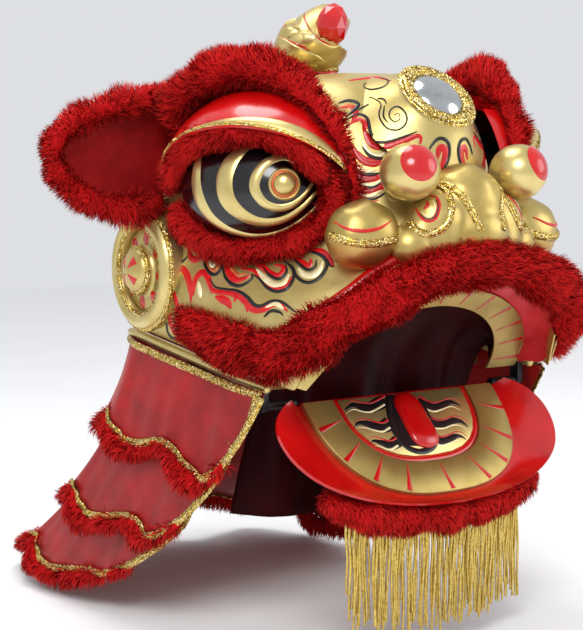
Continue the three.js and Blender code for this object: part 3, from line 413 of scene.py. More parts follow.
paperInside = plainMaterial("unpaintedPaperInside", "#B79B68", "#CDB383", 0.85, 0.0, 0.02, 0.0005)
# the brow's red underside made near black and matt: painted shade where the brow hangs over the lid
browShadeRed = plainMaterial("browUndersidePaintedShade", "#520305", "#6C0508", 0.95, gloss=0.0)
liningSatin = satinMaterial("coralSatinLining", "#B8121C", "#D63038", 0.3)
darkMetal = plainMaterial("blackedSteel", "#2A2A2C", "#3A3A3E", 0.45, 0.9)
redGlass = glossMaterial("redFacetedGlass", "#B40409", "#D20A0E", 0.06, 0.5)
print("materials ready")


# Fur

def trianglesOf(mesh):
    mesh.calc_loop_triangles()
    points = np.empty(3 * len(mesh.vertices), np.float32)
    mesh.vertices.foreach_get("co", points)
    normals = np.empty(3 * len(mesh.vertices), np.float32)
    mesh.vertex_normals.foreach_get("vector", normals)
    corners = np.empty(3 * len(mesh.loop_triangles), np.int32)
    mesh.loop_triangles.foreach_get("vertices", corners)
    return points.reshape(-1, 3), normals.reshape(-1, 3), corners.reshape(-1, 3)


def unit(rows):
    return rows / np.maximum(np.linalg.norm(rows, axis=1, keepdims=True), 1e-9)


def softNoise(points, size, seed):  # slow waves through space, the same every run
    waves = np.random.default_rng(seed)
    total = np.zeros((len(points), 3))
    for _ in range(5):
        pitch = waves.normal(0, 1, (3, 3)) / size
        total += np.sin(points @ pitch + waves.uniform(0, 6.28, 3))
    return total / 2.2


hair = {"tuftSize": 12, "swell": 2, "tuft": 0.22, "droop": 0.25, "curl": 0.6, "knee": 0.55, "narrow": 0.8,
        "shortest": 0.65, "longest": 1.15, "wave": 0.25, "waveSize": 16, "twist": 0.5, "soft": 0.35,
        "quickShare": 0.5}
strandUv = [0, 0, 0.55, 0, 0.55, 0.55, 0.55, 0.55, 1.0]  # how far along the hair each triangle corner is


def scattered(points, corners, count, *layers):  # values at random places on the pelt, by area
    a, b, c = (points[corners[:, k]] for k in range(3))
    area = np.linalg.norm(np.cross(b - a, c - a), axis=1)
    face = chance.choice(len(corners), count, p=area / area.sum())
    u, v = chance.random(count), chance.random(count)
    u, v = np.where(u + v > 1, 1 - u, u), np.where(u + v > 1, 1 - v, v)
    weights = np.stack([1 - u - v, u, v], 1)
    return [np.einsum("nk,nkj->nj", weights, rows[corners[face]]) for rows in layers]


def addFur(name, node, body, count, length, width=1.1, sink=1, lean=0.55, comb=(0, 0, -1), away=None, lobes=(),
           shift=(0, 0, 0)):
    # a pelt from the node's own form, sunk a little, and hairs that stand out of it and lie along the comb
    pelt = mergedCopy(node, name)
    pelt.data.transform(Matrix.Translation(Vector(shift) * mm))
    for place, radius in lobes:
        bpy.ops.mesh.primitive_uv_sphere_add(segments=16, ring_count=10, radius=radius * mm,
                                             location=Vector(place) * mm)
        lobe = settled(bpy.context.object)
        activate(lobe)
        pelt.select_set(True)
        bpy.context.view_layer.objects.active = pelt
        bpy.ops.object.join()
    applied(pelt, "REMESH", mode="VOXEL", voxel_size=6 * mm, use_smooth_shade=True)
    applied(pelt, "SMOOTH", factor=0.5, iterations=8)
    points, normals, corners = trianglesOf(pelt.data)
    swell = hair["swell"] * mm * softNoise(points, hair["tuftSize"] * mm, 3)[:, :1]
    deep = points - normals * sink * mm + normals * swell
    root, normal = scattered(points, corners, count, deep, normals)
    normal = unit(normal)
    if away is None:
        combed = np.tile(np.array(comb, float), (count, 1))
    else:
        combed = unit(root - np.array(away) * mm)
    combed = combed - normal * np.sum(combed * normal, axis=1, keepdims=True)
    tuft = softNoise(root, hair["tuftSize"] * mm, 5) * hair["tuft"]
    towards = unit(normal + combed * lean + tuft + chance.normal(0, 0.3, (count, 3)))
    fall = np.array([0, 0, -hair["droop"]])
    bend = unit(towards + combed * hair["curl"] + fall + chance.normal(0, 0.18, (count, 3)))
    share = chance.uniform(hair["shortest"], hair["longest"], count)
    share = share * (1 + hair["wave"] * softNoise(root, hair["waveSize"] * mm, 9)[:, 0])
    long = (length * mm * share)[:, None]
    side = unit(np.cross(towards, normal + chance.normal(0, hair["twist"], (count, 3)))) * width * mm * 0.5
    middle = root + towards * long * hair["knee"]
    tip = middle + bend * long * (1 - hair["knee"])
    thin = side * hair["narrow"]
    hairs = np.stack([root - side, root + side, middle - thin, middle + thin, tip], 1).reshape(-1, 3)
    first = 5 * np.arange(count)[:, None, None] + len(deep)
    hairFaces = (first + np.array([[0, 1, 2], [1, 3, 2], [2, 3, 4]])).reshape(-1, 3)
    mesh = arrayMesh(name, np.concatenate([deep, hairs]), np.concatenate([corners, hairFaces]))
    hairUv = np.stack([np.repeat(chance.random(count), 9), np.tile(strandUv, count)], 1)
    # the pelt under the hairs takes a colour near the roots, the same painted shade
    peltUv = np.tile([0.4, 0.4], (3 * len(corners), 1))
    layer = mesh.uv_layers.new(name="strand")
    layer.data.foreach_set("uv", np.concatenate([peltUv, hairUv]).astype(np.float32).ravel())
    bpy.data.objects.remove(pelt)
    piece = smoothShaded(newPiece(name, mesh))
    # hairs shade like the pelt below them
    soft = unit(normal + hair["soft"] * towards + chance.normal(0, 0.12, (count, 3)))
    mesh.normals_split_custom_set_from_vertices(np.concatenate([normals, np.repeat(soft, 5, axis=0)]))
    return dress(piece, redFur, body, "red_fur", node)


# The lion's left eye: its middle, its directions along and out, and what sits on it
eye = {"centre": (195, -50, 246), "along": (-0.431, -0.902, 0), "out": (0.902, -0.431, 0), "half": 100,
       "radius": 69, "behind": 18, "pupil": (69, 48, 6), "pupilFacing": (0.55, 0.83, 0.1),
       "pupilProfile": [(20, -4), (20.5, 0), (18.5, 3), (16, 2), (14.5, 3), (13, 7), (9, 10), (4, 11.5),
                        (0, 12)],
       "pupilRing": [(16.6, 1), (16.4, 3.6), (15.2, 4.6), (14.2, 4.4), (14, 2)]}
eyeBasis = np.array([eye["along"], eye["out"], (0, 0, 1)])


def eyeSpot(side, *place):  # millimetres along, out and up from the eye's middle
    return tuple((np.array(place) @ eyeBasis + eye["centre"]) * [side, 1, 1])


pelts = {"brow": {"count": 15500, "length": 15, "lean": 0.5, "width": 1.0},
         "eye": {"count": 13000, "length": 14, "lean": 0.7, "width": 1.0},
         "lash": {"count": 9000, "length": 12, "lean": 0.9, "sink": 0, "width": 1.0},
         "ear": {"count": 10000, "length": 15, "lean": 0.5, "sink": -3},
         "lip": {"count": 32000, "length": 15, "lean": 0.7, "away": (0, -60, 130)},
         "jaw": {"count": 13000, "length": 14, "lean": 0.9, "comb": (0, -0.2, -1)},
         "cape": {"count": 11300, "length": 15.5, "lean": 1.0, "sink": 0.6, "width": 1.4, "comb": (0, 0.1, -1)}}
browUnder = ((-112, 79), (-97, 101), (-80, 117), (-60, 130), (-40, 139), (-20, 145), (0, 148), (20, 147))
eyeEnds = (((120, 14, 4), 15), ((124, 12, -14), 16), ((118, 14, 24), 13), ((-118, 8, 6), 15),
           ((-112, 12, 26), 13))
for word, low, side in sides:
    under = [(eyeSpot(side, s, -0.17 * r, 0.985 * r), 14) for s, r in browUnder]
    addFur("browFur" + word, "brow_fur_" + low, "head", away=eyeSpot(side, 0, -30, -20), lobes=under,
           **pelts["brow"])
    ends = [(eyeSpot(side, *place), radius) for place, radius in eyeEnds]
    addFur("eyeFur" + word, "eye_fur_" + low, "head", away=eyeSpot(side, 0, -20, 30), lobes=ends,
           **pelts["eye"])
    addFur("lashFur" + word, "eyelid_fur_" + low, "lid_" + low, away=eyeSpot(side, 0, 10, 120),
           shift=(side * 4.51, -2.155, -9), **pelts["lash"])
    addFur("earFur" + word, "ear_fur_" + low, "ear_" + low, away=(side * 310, 90, 292), **pelts["ear"])
addFur("lipFur", "lip_fur", "head", **pelts["lip"])
addFur("jawFur", "jaw_fur", "jaw", **pelts["jaw"])
for tier in (1, 2, 3):
    addFur(f"capeFur{tier}", f"cape_fur_{tier}", "head", **pelts["cape"])
print("fur laid")

# The gold shell and what is moulded on it

hoodSkin = roundedCopy("hood", "hoodShell", 2)
dress(hoodSkin, shellGold, "head", "gold_shell", "hood")
hoodSkin.data.materials.append(paperInside)
for face in hoodSkin.data.polygons:  # bare paper inside, gold outside
    outward = Vector((face.center.x, face.center.y - 0.02, face.center.z - 0.14))
    face.material_index = 1 if face.normal.dot(outward) < 0 and face.center.y > -0.2 else 0
flap = {"pixels": [(260, 378), (306, 391), (338, 354), (300, 338), (262, 348)], "thick": 2.4,
        "place": (-0.246, -0.14, 0), "facing": (-0.824, -0.567, 0)}
outline = []
for x, y in flap["pixels"]:  # the shell's corner below the lip, cut square
    origin, ray = pixelRay(x, y)
    away = (Vector(flap["place"]) - origin).dot(Vector(flap["facing"])) / ray.dot(Vector(flap["facing"]))
    outline.append(origin + ray * away)
behind = [p - Vector(flap["facing"]) * flap["thick"] * mm for p in outline]
mesh = bpy.data.meshes.new("shellCorner")
mesh.from_pydata([*outline, *behind], [], [(0, 1, 2, 3, 4), (9, 8, 7, 6, 5)] +
                 [(i, i + 5, (i + 1) % 5 + 5, (i + 1) % 5) for i in range(5)])
cornerRight = newPiece("shellCornerRight", mesh)
inEditMode(cornerRight, turnOutward)
applied(cornerRight, "BEVEL", width=0.7 * mm, segments=2, limit_method="ANGLE")
smoothShaded(cornerRight, 30)
cornerLeft = mirrorPiece(cornerRight, "shellCornerLeft")
for corner in (cornerLeft, cornerRight):
    dress(corner, shellGold, "head", "gold_shell")
noseSkin = swollenCopy("nose", "noseFolds", 7)
dress(noseSkin, noseGold, "head", "gold_shell", "nose")
for word, low, _ in sides:
    drum = swollenCopy("cheek_drum_" + low, "cheekDrum" + word, 9)
    dress(drum, noseGold, "head", "gold_shell", "cheek_drum_" + low)
    rail = roundedCopy("rail_" + low, "rimRail" + word, 1)
    dress(rail, brightGold, "head", "gold_shell", "rail_" + low)
print("shell ready")

# Lines, painted strokes and braid

def alongLine(points, step):  # evenly spaced places on a smooth line through the points
    line = [np.array(p, float) for p in points]
    fine = np.array([through(line, t) for t in np.linspace(0, 1, 16 * len(line))])
    run = np.concatenate([[0], np.cumsum(np.linalg.norm(np.diff(fine, axis=0), axis=1))])
    at = np.linspace(0, run[-1], max(int(run[-1] / step) + 1, 4))
    return np.stack([np.interp(at, run, fine[:, k]) for k in range(fine.shape[1])], 1)


def softened(rows, passes=4):
    for _ in range(passes):
        rows = np.concatenate([rows[:1], (rows[:-2] + 2 * rows[1:-1] + rows[2:]) / 4, rows[-1:]])
    return rows


def traced(pixels, tree, step=1.5, jump=0.012):  # runs of places and normals where a line meets the surface
    runs, run = [], []
    for x, y in alongLine(pixels, step):
        place, normal, _, _ = tree.ray_cast(*pixelRay(x, y))
        if run and (place is None or (run[-1][0] - place).length > jump):
            runs.append(run)
            run = []
        if place is not None:
            run.append((place, normal))
    runs.append(run)
    split = [(np.array([p for p, _ in r]), np.array([n for _, n in r])) for r in runs if len(r) > 3]
    return [(places, unit(softened(normals))) for places, normals in split]


def ribbon(places, normals, width, lift, tree=None, deep=0.5):  # five points across, its edges just sunk
    side = unit(np.cross(np.gradient(places, axis=0), normals))
    width = np.broadcast_to(width, len(places))
    rows = []
    for across, up in ((-1, -deep), (-0.7, 0.8 * lift), (0, lift), (0.7, 0.8 * lift), (1, -deep)):
        spots = places + side * (width * across * 0.5)[:, None]
        if tree:
            spots = np.array([tree.find_nearest(Vector(spot))[0] for spot in spots])
        rows.append(spots + normals * up * mm)
    return np.stack(rows, 1)


def gridPiece(name, grids, mirrored=False, wrap=False):  # many ribbons in one piece
    return newPiece(name, arrayMesh(name, *gridsMesh(grids, mirrored, wrap)))


def gridsMesh(grids, mirrored=False, wrap=False):  # points and corners of many grids together
    points, faces, start = [], [], 0
    for grid in grids:
        rows, columns = grid.shape[:2]
        i, j = np.meshgrid(np.arange(rows if wrap else rows - 1), np.arange(columns - 1), indexing="ij")
        a = start + i * columns + j
        b = start + (i + 1) % rows * columns + j
        quad = np.stack([a, a + 1, b + 1, b], -1).reshape(-1, 4)
        points.append(grid.reshape(-1, 3))
        faces.append(quad)
        start += rows * columns
    points, faces = np.concatenate(points), np.concatenate(faces)
    if mirrored:
        faces = np.concatenate([faces, faces[:, ::-1] + len(points)])
        points = np.concatenate([points, points * [-1, 1, 1]])
    corners = np.concatenate([faces[:, [0, 1, 2]], faces[:, [0, 2, 3]]])
    return points, corners


paints = {}


def paint(key, pixels, width, lift, tree, taper="both", scale=1.95, deep=0.5):
    for places, normals in traced(pixels, tree):
        t = np.linspace(0, 1, len(places))
        shape = {"both": np.sin(np.pi * np.clip(t, 0.03, 0.97)) ** 0.5, "tip": 1 - 0.93 * t ** 1.3,
                 "none": np.ones(len(t))}
        widths = width * scale * mm * shape[taper]
        paints.setdefault(key, []).append(ribbon(places, normals, widths, lift, tree, deep))


def finishPaint(key, name, material, body, slot, mirrored=True):
    return dress(smoothShaded(gridPiece(name, paints[key], mirrored)), material, body, slot)


braids = {}


def braid(key, places, normals, width, lift, size=1.5, pitch=2.3):  # a cord with sequins all over it
    width = np.broadcast_to(width * mm, len(places))
    side = unit(np.cross(np.gradient(places, axis=0), normals))
    cord = ribbon(places, normals, width, lift)
    run = np.concatenate([[0], np.cumsum(np.linalg.norm(np.diff(places, axis=0), axis=1))])
    spots, ups = [], []
    rows = max(int(width.max() / (pitch * mm)), 2)
    for k in range(rows + 1):
        u = -0.92 + 1.84 * k / rows
        at = np.arange(0, run[-1], pitch * mm) + chance.uniform(-0.5, 0.5) * pitch * mm
        spot, across, up = (np.stack([np.interp(at, run, line[:, c]) for c in range(3)], 1)
                            for line in (places, side, normals))
        reach = np.interp(at, run, width) * 0.5 * (u + chance.normal(0, 0.05, len(at)))
        high = lift * mm * (1 - 0.75 * u * u)
        spots.append(spot + across * reach[:, None] + up * high)
        ups.append(unit(up + across * u * 0.7))
    kept = braids.setdefault(key, ([], [], [], size))
    kept[0].append(cord)
    kept[1].extend(spots)
    kept[2].extend(ups)


def finishBraid(key, name, body, mirrored=True, *replaced):
    grids, spots, ups, size = braids[key]
    points, corners = gridsMesh(grids)
    spots, ups = np.concatenate(spots), np.concatenate(ups)
    count = len(spots)
    turn = unit(ups + chance.normal(0, 0.4, (count, 3)))
    side = unit(np.cross(turn, chance.normal(0, 1, (count, 3))))
    third = np.cross(turn, side)
    r = size * mm * chance.uniform(0.8, 1.2, (count, 1))
    tops = [spots + side * r, spots + third * r, spots - side * r, spots - third * r, spots + turn * r * 0.75]
    first = 5 * np.arange(count)[:, None, None] + len(points)
    faces = (first + np.array([[0, 1, 4], [1, 2, 4], [2, 3, 4], [3, 0, 4]])).reshape(-1, 3)
    points = np.concatenate([points, np.stack(tops, 1).reshape(-1, 3)])
    corners = np.concatenate([corners, faces])
    if mirrored:
        corners = np.concatenate([corners, corners[:, ::-1] + len(points)])
        points = np.concatenate([points, points * [-1, 1, 1]])
    piece = newPiece(name, arrayMesh(name, points, corners))
    return dress(piece, glitter, body, "gold_braid", *replaced)


def tube(line, radius, sides):  # rings of places round a line
    tangent = unit(np.gradient(line, axis=0))
    up = unit(np.cross(tangent, [0.1, 0.3, 1]))
    other = np.cross(tangent, up)
    turns = np.linspace(0, 2 * math.pi, sides + 1)
    return np.stack([line + radius * (up * math.cos(a) + other * math.sin(a)) for a in turns], 1)


def ringLine(centre, axis, radius, steps=160):  # round an axis, closed
    axis = Vector(axis).normalized()
    first = axis.cross(Vector((0.3, 0.2, 1))).normalized()
    second = axis.cross(first)
    a = np.linspace(0, 2 * math.pi, steps)
    places = np.array(centre) * mm + radius * mm * (np.outer(np.cos(a), first) + np.outer(np.sin(a), second))
    return places, np.tile(np.array(axis), (steps, 1))


def lathePiece(name, profile, centre, axis, steps=64, step=2.5):  # profile rows: radius, height along the axis
    line = alongLine(profile, step)
    line[:, 0] = np.maximum(line[:, 0], 0.02)
    axis = Vector(axis).normalized()
    first = axis.cross(Vector((0.3, 0.2, 1))).normalized()
    second = axis.cross(first)
    a = np.linspace(0, 2 * math.pi, steps, endpoint=False)
    ring = np.outer(np.cos(a), first) + np.outer(np.sin(a), second)
    grid = np.array(centre) + ring[:, None] * line[None, :, :1] + np.array(axis) * line[None, :, 1:]
    return smoothShaded(gridPiece(name, [grid * mm], wrap=True), 50)


mirror = {"at": (0, -185, 364), "axis": (0, -0.7071, 0.7071),
          "mound": [(50, 3), (52, -3), (57, -10), (66, -20), (80, -34), (98, -50)],
          "glass": [(39, -2), (38, 1), (32, 7), (22, 12), (12, 14.5), (0, 15.5)],
          "ring": [(50, -38), (52, -10), (51.5, 0), (50, 4), (46, 6), (41, 5), (38.3, 2), (38.3, -10)],
          "braids": ((46.5, 13, 3.0, 4, 0.1), (52.5, 7, 2.6, 0, 0.1), (40, 4, 2, 3.5, 0.1))}
mound = lathePiece("mirrorMound", mirror["mound"], mirror["at"], mirror["axis"])
dress(mound, shellGold, "head", "gold_shell")
hoodTree = treeOf(hoodSkin, mound)
noseTree = treeOf(noseSkin)

# Forehead: three colours a flame, black outside, red, then a cream edge
foreheadRed = [
    (4.5, [(347, 125.5), (358.5, 119.5), (364.5, 123), (367, 136), (373, 145.5), (384.5, 146.5), (401, 142),
           (416.5, 136), (421, 138.5), (419, 146.5)]),
    (4.5, [(352.5, 144.5), (356, 152.5), (363.5, 161), (374, 164.5), (382, 162)]),
    (4, [(355, 175), (364.5, 179.5), (380, 178.5)]),
    (7, [(345.5, 185.5), (358.5, 189), (376.5, 188), (386, 185.5)]),
    (3, [(349, 80.5), (364.5, 78.5), (375, 77), (384.5, 79), (390.5, 81)]),
    (5.5, [(437.5, 159.5), (439, 150), (442.5, 148), (446, 152.5), (443.5, 163), (439, 171.5)]),
    (4, [(340, 108), (350, 106), (356, 112), (352, 122)]),
    (8, [(340, 128), (345, 146), (349, 164), (349, 182), (346, 196)]),
    (3.5, [(358, 151), (364, 158), (374, 161), (386, 159)]),
    (3.5, [(352, 172), (362, 177), (372, 178), (382, 175)]),
]
foreheadCream = [
    (4.5, [(362, 139.5), (368, 151.5), (377.5, 156), (388, 151.5)]),
    (4.5, [(352.5, 159.5), (357.5, 167), (365.5, 171.5), (376.5, 170)]),
    (4.5, [(350.5, 178.5), (362, 184.5), (374, 185), (382, 179.5)]),
    (3.5, [(358.5, 195), (370.5, 196), (382, 190.5)]),
]
foreheadBlack = [
    (2.6, [(343, 122), (357, 114.5), (367, 118), (370.5, 132), (376, 141), (386, 142), (400, 138),
           (417, 131.5)]),
    (3, [(362, 147), (370.5, 156), (382, 158.5), (390.5, 155)]),
    (3, [(355, 169), (362, 174), (373, 174.5), (381, 172.5)]),
    (2.6, [(345.5, 181), (358.5, 186), (371.5, 187.5), (381, 183)]),
    (2.6, [(349, 203.5), (361, 200), (375, 198.5), (385.5, 192.5)]),
    (3, [(338.5, 103), (349, 100.5), (358.5, 104), (352.5, 111.5), (345.5, 117)]),
    (2.8, [(428, 154), (431.5, 145.5), (439, 138.5), (447, 141), (449.5, 150), (447, 163), (439, 174)]),
]
scrolls = [
    [(365.5, 83), (363.5, 86.5), (370.5, 89.5), (382, 87.5), (388, 83), (387, 80), (380, 78)],
    [(369, 97), (375, 99), (381, 104), (379, 113.5), (381, 120.5), (387, 128), (396.5, 130), (403.5, 126.5),
     (407, 119.5), (404.5, 111.5), (397.5, 106.5), (390.5, 110), (389.5, 117), (395, 122), (400, 118.5),
     (398.5, 113.5), (394.5, 115)],
    [(377.5, 98.5), (383.5, 99), (386.5, 103.5)], [(384.5, 105.5), (383.5, 116), (388, 123)],
    [(355, 111.5), (369, 104)],
]
cheekRed = [
    (4.5, [(310, 249.5), (322, 252), (330, 260), (333.5, 267)]),
    (4, [(293.5, 256.5), (302, 262.5), (308, 266), (311, 262.5), (310, 259)]),
    (3.5, [(240.5, 268.5), (254.5, 271), (264, 281.5), (274.5, 288.5), (285.5, 286), (292, 276.5)]),
    (4, [(247.5, 260), (261.5, 266), (269, 272), (277, 275.5), (283, 270.5), (282, 266), (274.5, 265)]),
    (4.5, [(225, 261.5), (228.5, 272), (236, 280), (245, 278), (250, 274.5)]),
    (4.5, [(188.5, 248.5), (190.5, 256.5), (195.5, 260), (200.5, 256.5), (200.5, 249.5)]),
    (3.5, [(176, 226), (178, 233), (181, 232)]),
    (5, [(208.5, 281.5), (214.5, 291), (231, 293), (243, 298), (252.5, 308.5), (263, 309.5), (272.5, 305),
         (280.5, 305), (287.5, 311)]),
    (5.5, [(215.5, 296.5), (226.5, 301.5), (231, 308.5)]),
    (5, [(234.5, 301.5), (238, 295.5), (246.5, 302.5), (247.5, 312)]),
    (5, [(175.5, 276.5), (178, 269.5), (182.5, 268.5), (187.5, 276.5), (190.5, 291), (191, 302.5)]),
    (5, [(193.5, 295.5), (194.5, 281.5), (200.5, 273), (206.5, 274.5), (210, 285), (212, 293)]),
    (5.5, [(168.5, 283.5), (174.5, 296.5), (179, 312), (181.5, 321.5), (175.5, 324)]),
    (5, [(165, 300), (168.5, 312), (171, 326), (175.5, 333), (182.5, 329.5)]),
    (4, [(187.5, 329.5), (192, 338), (197, 337)]),
]
cheekCream = [
    (5.5, [(298.5, 268.5), (304, 274.5), (312.5, 275.5), (319.5, 269.5), (323, 261.5)]),
    (5.5, [(257, 269.5), (265, 279), (274.5, 285), (284, 282.5), (289, 274.5)]),
    (4, [(210, 259), (212, 266), (215.5, 263.5)]), (4, [(265.5, 307.5), (276, 304), (284, 309.5)]),
    (4, [(198.5, 281.5), (200.5, 298)]),
]
cheekBlack = [
    (2.6, [(313.5, 252), (323, 256.5), (330, 265.5), (333.5, 267)]),
    (3, [(284, 261.5), (292.5, 267), (296, 275.5), (302, 281), (310, 282.5), (319.5, 278), (326, 268.5),
         (326.5, 261.5),
         (321, 255.5), (311.5, 252), (300.5, 253)]),
    (2.6, [(292.5, 258), (300.5, 265), (308, 270), (315, 267), (316.5, 260)]),
    (3, [(252.5, 274.5), (259.5, 279), (266.5, 287), (276, 291.5), (286.5, 289), (293, 280), (293.5, 272),
         (290, 266),
         (284, 261.5)]),
    (2.6, [(285.5, 265), (286.5, 272), (279.5, 279), (270, 275.5), (263, 267)]),
    (3, [(223, 267), (225, 276.5), (231, 283.5), (239.5, 286), (247.5, 282.5), (252.5, 278), (251.5, 275)]),
    (3, [(203.5, 254), (205, 265), (210, 273), (215.5, 274.5), (221, 269.5), (222, 261.5)]),
    (2.8, [(172, 228), (174.5, 237.5), (180.5, 240), (184.5, 234)]),
    (3, [(210, 279), (215.5, 287), (226.5, 289.5), (237, 291), (246.5, 296.5), (254.5, 305), (261.5, 306),
         (271, 301.5),
         (280.5, 301.5), (289, 307), (295, 311.5), (300.5, 312)]),
    (2.6, [(264, 317), (271, 311), (279.5, 312), (283, 315.5)]),
    (2.6, [(175, 281), (176, 269.5), (187.5, 256.5)]),
    (2.6, [(166, 320.5), (168.5, 333.5), (174.5, 338.5), (180.5, 334.5), (182.5, 331.5)]),
    (2.6, [(185, 334.5), (191, 341.5), (197, 340.5)]),
]
cheekCopper = [
    (3, [(224, 255.5), (231, 267), (238, 274.5), (246.5, 273)]),
    (3, [(206.5, 255.5), (208.5, 267), (213.5, 270.5), (218, 266), (219.5, 259)]),
    (3, [(349, 205.5), (363.5, 203), (378.5, 200)]), (3, [(343, 106), (351, 105), (352, 109)]),
]
for key, strokes, lift in (("red", foreheadRed + cheekRed, 0.6), ("cream", foreheadCream + cheekCream, 1.1),
                           ("black", foreheadBlack + cheekBlack, 1.4), ("copper", cheekCopper, 0.9)):
    for width, pixels in strokes:
        paint(key, pixels, width * (1.25 if key == "red" else 1.0), lift, hoodTree)
lipLine = [(292, 322), (318, 310), (345, 293), (372, 273), (400, 257), (425, 248), (452, 243)]
paint("lipStrip", lipLine, 8, 4.5, hoodTree)
finishPaint("lipStrip", "lipStrip", redLacquer, "head", "red_lacquer")
for pixels in scrolls:
    paint("black", pixels, 1.5, 1.2, hoodTree)
drumTree = treeOf(bpy.data.objects["cheekDrumRight"])
faceStrokes = [  # colour, surface, width, lift and pixels
    ("red", noseTree, 3.5, 0.8, [(429, 195), (437, 198), (439, 207), (435, 217.5), (428, 220.5),
                                 (421, 216.5), (415.5, 208)]),
    ("red", noseTree, 3, 0.8, [(427, 201), (428, 205), (424, 209)]),
    ("red", drumTree, 2.6, 1.4, [(334, 222), (348, 229), (364, 231), (380, 228), (391, 221)]),
    ("cream", noseTree, 1.8, 1.1, [(433, 201), (435, 207), (432, 214.5), (427, 216.5), (422, 212)]),
    ("black", noseTree, 1.4, 1.3, [(436, 200), (438.5, 207), (435, 216.5), (427, 219), (419, 213)]),
]
for key, tree, width, lift, pixels in faceStrokes:
    paint(key, pixels, width, lift, tree)
print("strokes traced")

# Eyes and lids
lid = {"middle": 10, "half": 138, "lower": 114, "upper": 131, "low": 43, "high": 98, "wall": 3, "taper": 0.975}
groove = {"grid": (11, 5, 56, 6, 88, 112), "kept": (8, 40)}  # behind the lid, only where the brow hangs over it
crescent = {"part": (14, 51), "width": 17, "above": 2}


def fromEye(rows, side=1):  # millimetres along, out and up, to metres on the lion's head
    return (np.asarray(rows, float) @ eyeBasis + eye["centre"]) * [side, 1, 1] * mm


def addEyeball(name):
    bpy.ops.mesh.primitive_uv_sphere_add(segments=72, ring_count=36, radius=1)
    ball = bpy.context.object
    ball.name = name
    ball.scale = (eye["half"] * mm, eye["radius"] * mm, eye["radius"] * mm)
    settled(ball)
    behind = {"plane_co": (0, -eye["behind"] * mm, 0), "plane_no": (0, -1, 0), "clear_outer": True}
    inEditMode(ball, (bpy.ops.mesh.bisect, behind))
    applied(ball, "SOLIDIFY", thickness=3 * mm, offset=-1)
    turn = Matrix(eyeBasis.tolist()).transposed().to_4x4()
    ball.data.transform(Matrix.Translation(Vector(eye["centre"]) * mm) @ turn)
    return smoothShaded(inEditMode(ball, turnOutward))


ballLeft = addEyeball("eyeballLeft")
ballRight = mirrorPiece(ballLeft, "eyeballRight")
ballTree = treeOf(ballRight)
dress(ballLeft, blackLacquer, "head", "black_lacquer", "eyeball_left")
dress(ballRight, blackLacquer, "head", "black_lacquer", "eyeball_right")
eyeRings = [  # pixels round the near eye with the band's width at each place
    [(300, 163, 6), (283, 157, 7), (266, 163, 8), (256, 177, 9), (255, 190, 9), (264, 203, 8),
     (278, 208, 7), (292, 205, 6),
     (304, 195, 4), (312, 184, 3)],
    [(262, 139, 8), (246, 146, 12), (231, 161, 15), (224, 181, 16), (228, 201, 15), (242, 215, 12),
     (260, 222, 9),
     (282, 220, 7), (302, 208, 5), (316, 192, 3)],
    [(211, 141, 8), (202, 151, 11), (197, 166, 13), (196, 185, 13), (201, 203, 11), (212, 219, 8),
     (232, 231, 7),
     (258, 236, 6), (285, 230, 5), (308, 215, 4), (324, 198, 2)],
]
for row in eyeRings:
    path = [(x, y) for x, y, _ in row]
    for places, normals in traced(path, ballTree):
        width = np.array([tableAt(row, t)[2] for t in np.linspace(0, 1, len(places))])
        paints.setdefault("eyeGold", []).append(ribbon(places, normals, width * 1.55 * mm, 2.2, ballTree, 0.2))
finishPaint("eyeGold", "eyeRings", brightGold, "head", "gold_shell")
for word, low, side in sides:
    at = fromEye(eye["pupil"], side) / mm
    facing = np.array(eye["pupilFacing"]) @ eyeBasis * [side, 1, 1]
    pupil = lathePiece("pupil" + word, eye["pupilProfile"], at, facing, 64, 1)
    dress(pupil, brightGold, "head", "gold_shell", "pupil_" + low)
    ring = lathePiece("pupilRing" + word, eye["pupilRing"], at, facing, 64, 0.7)
    dress(ring, copperPaint, "head", "gold_shell")


def lidGrid(over, under, columns=56, rows=14, low=lid["low"], high=lid["high"]):
    faces = []
    for shift in (over, under):
        grid = []
        for i in range(columns + 1):
            s = lid["middle"] + lid["half"] * lid["taper"] * math.sin(math.radians(-90 + 180 * i / columns))
            column = []
            for j in range(rows + 1):
                k = j / rows
                a = math.radians(low + (high - low) * k)
                across = (s - lid["middle"]) / lid["half"]
                bow = math.sqrt(max(1 - across * across, 0))
                r = (lid["lower"] + (lid["upper"] - lid["lower"]) * k) * bow + shift
                column.append((s, r * math.cos(a), r * math.sin(a)))
            grid.append(column)
        faces.append(np.array(grid))
    return faces


def lidShell(name, side, outer, inner):
    grid = np.concatenate([outer, inner[:, ::-1], outer[:, :1]], 1)
    rows = fromEye(grid.reshape(-1, 3), side).reshape(grid.shape)
    return smoothShaded(sealed(gridPiece(name, [rows[::side]]), 0.01 * mm), 40)


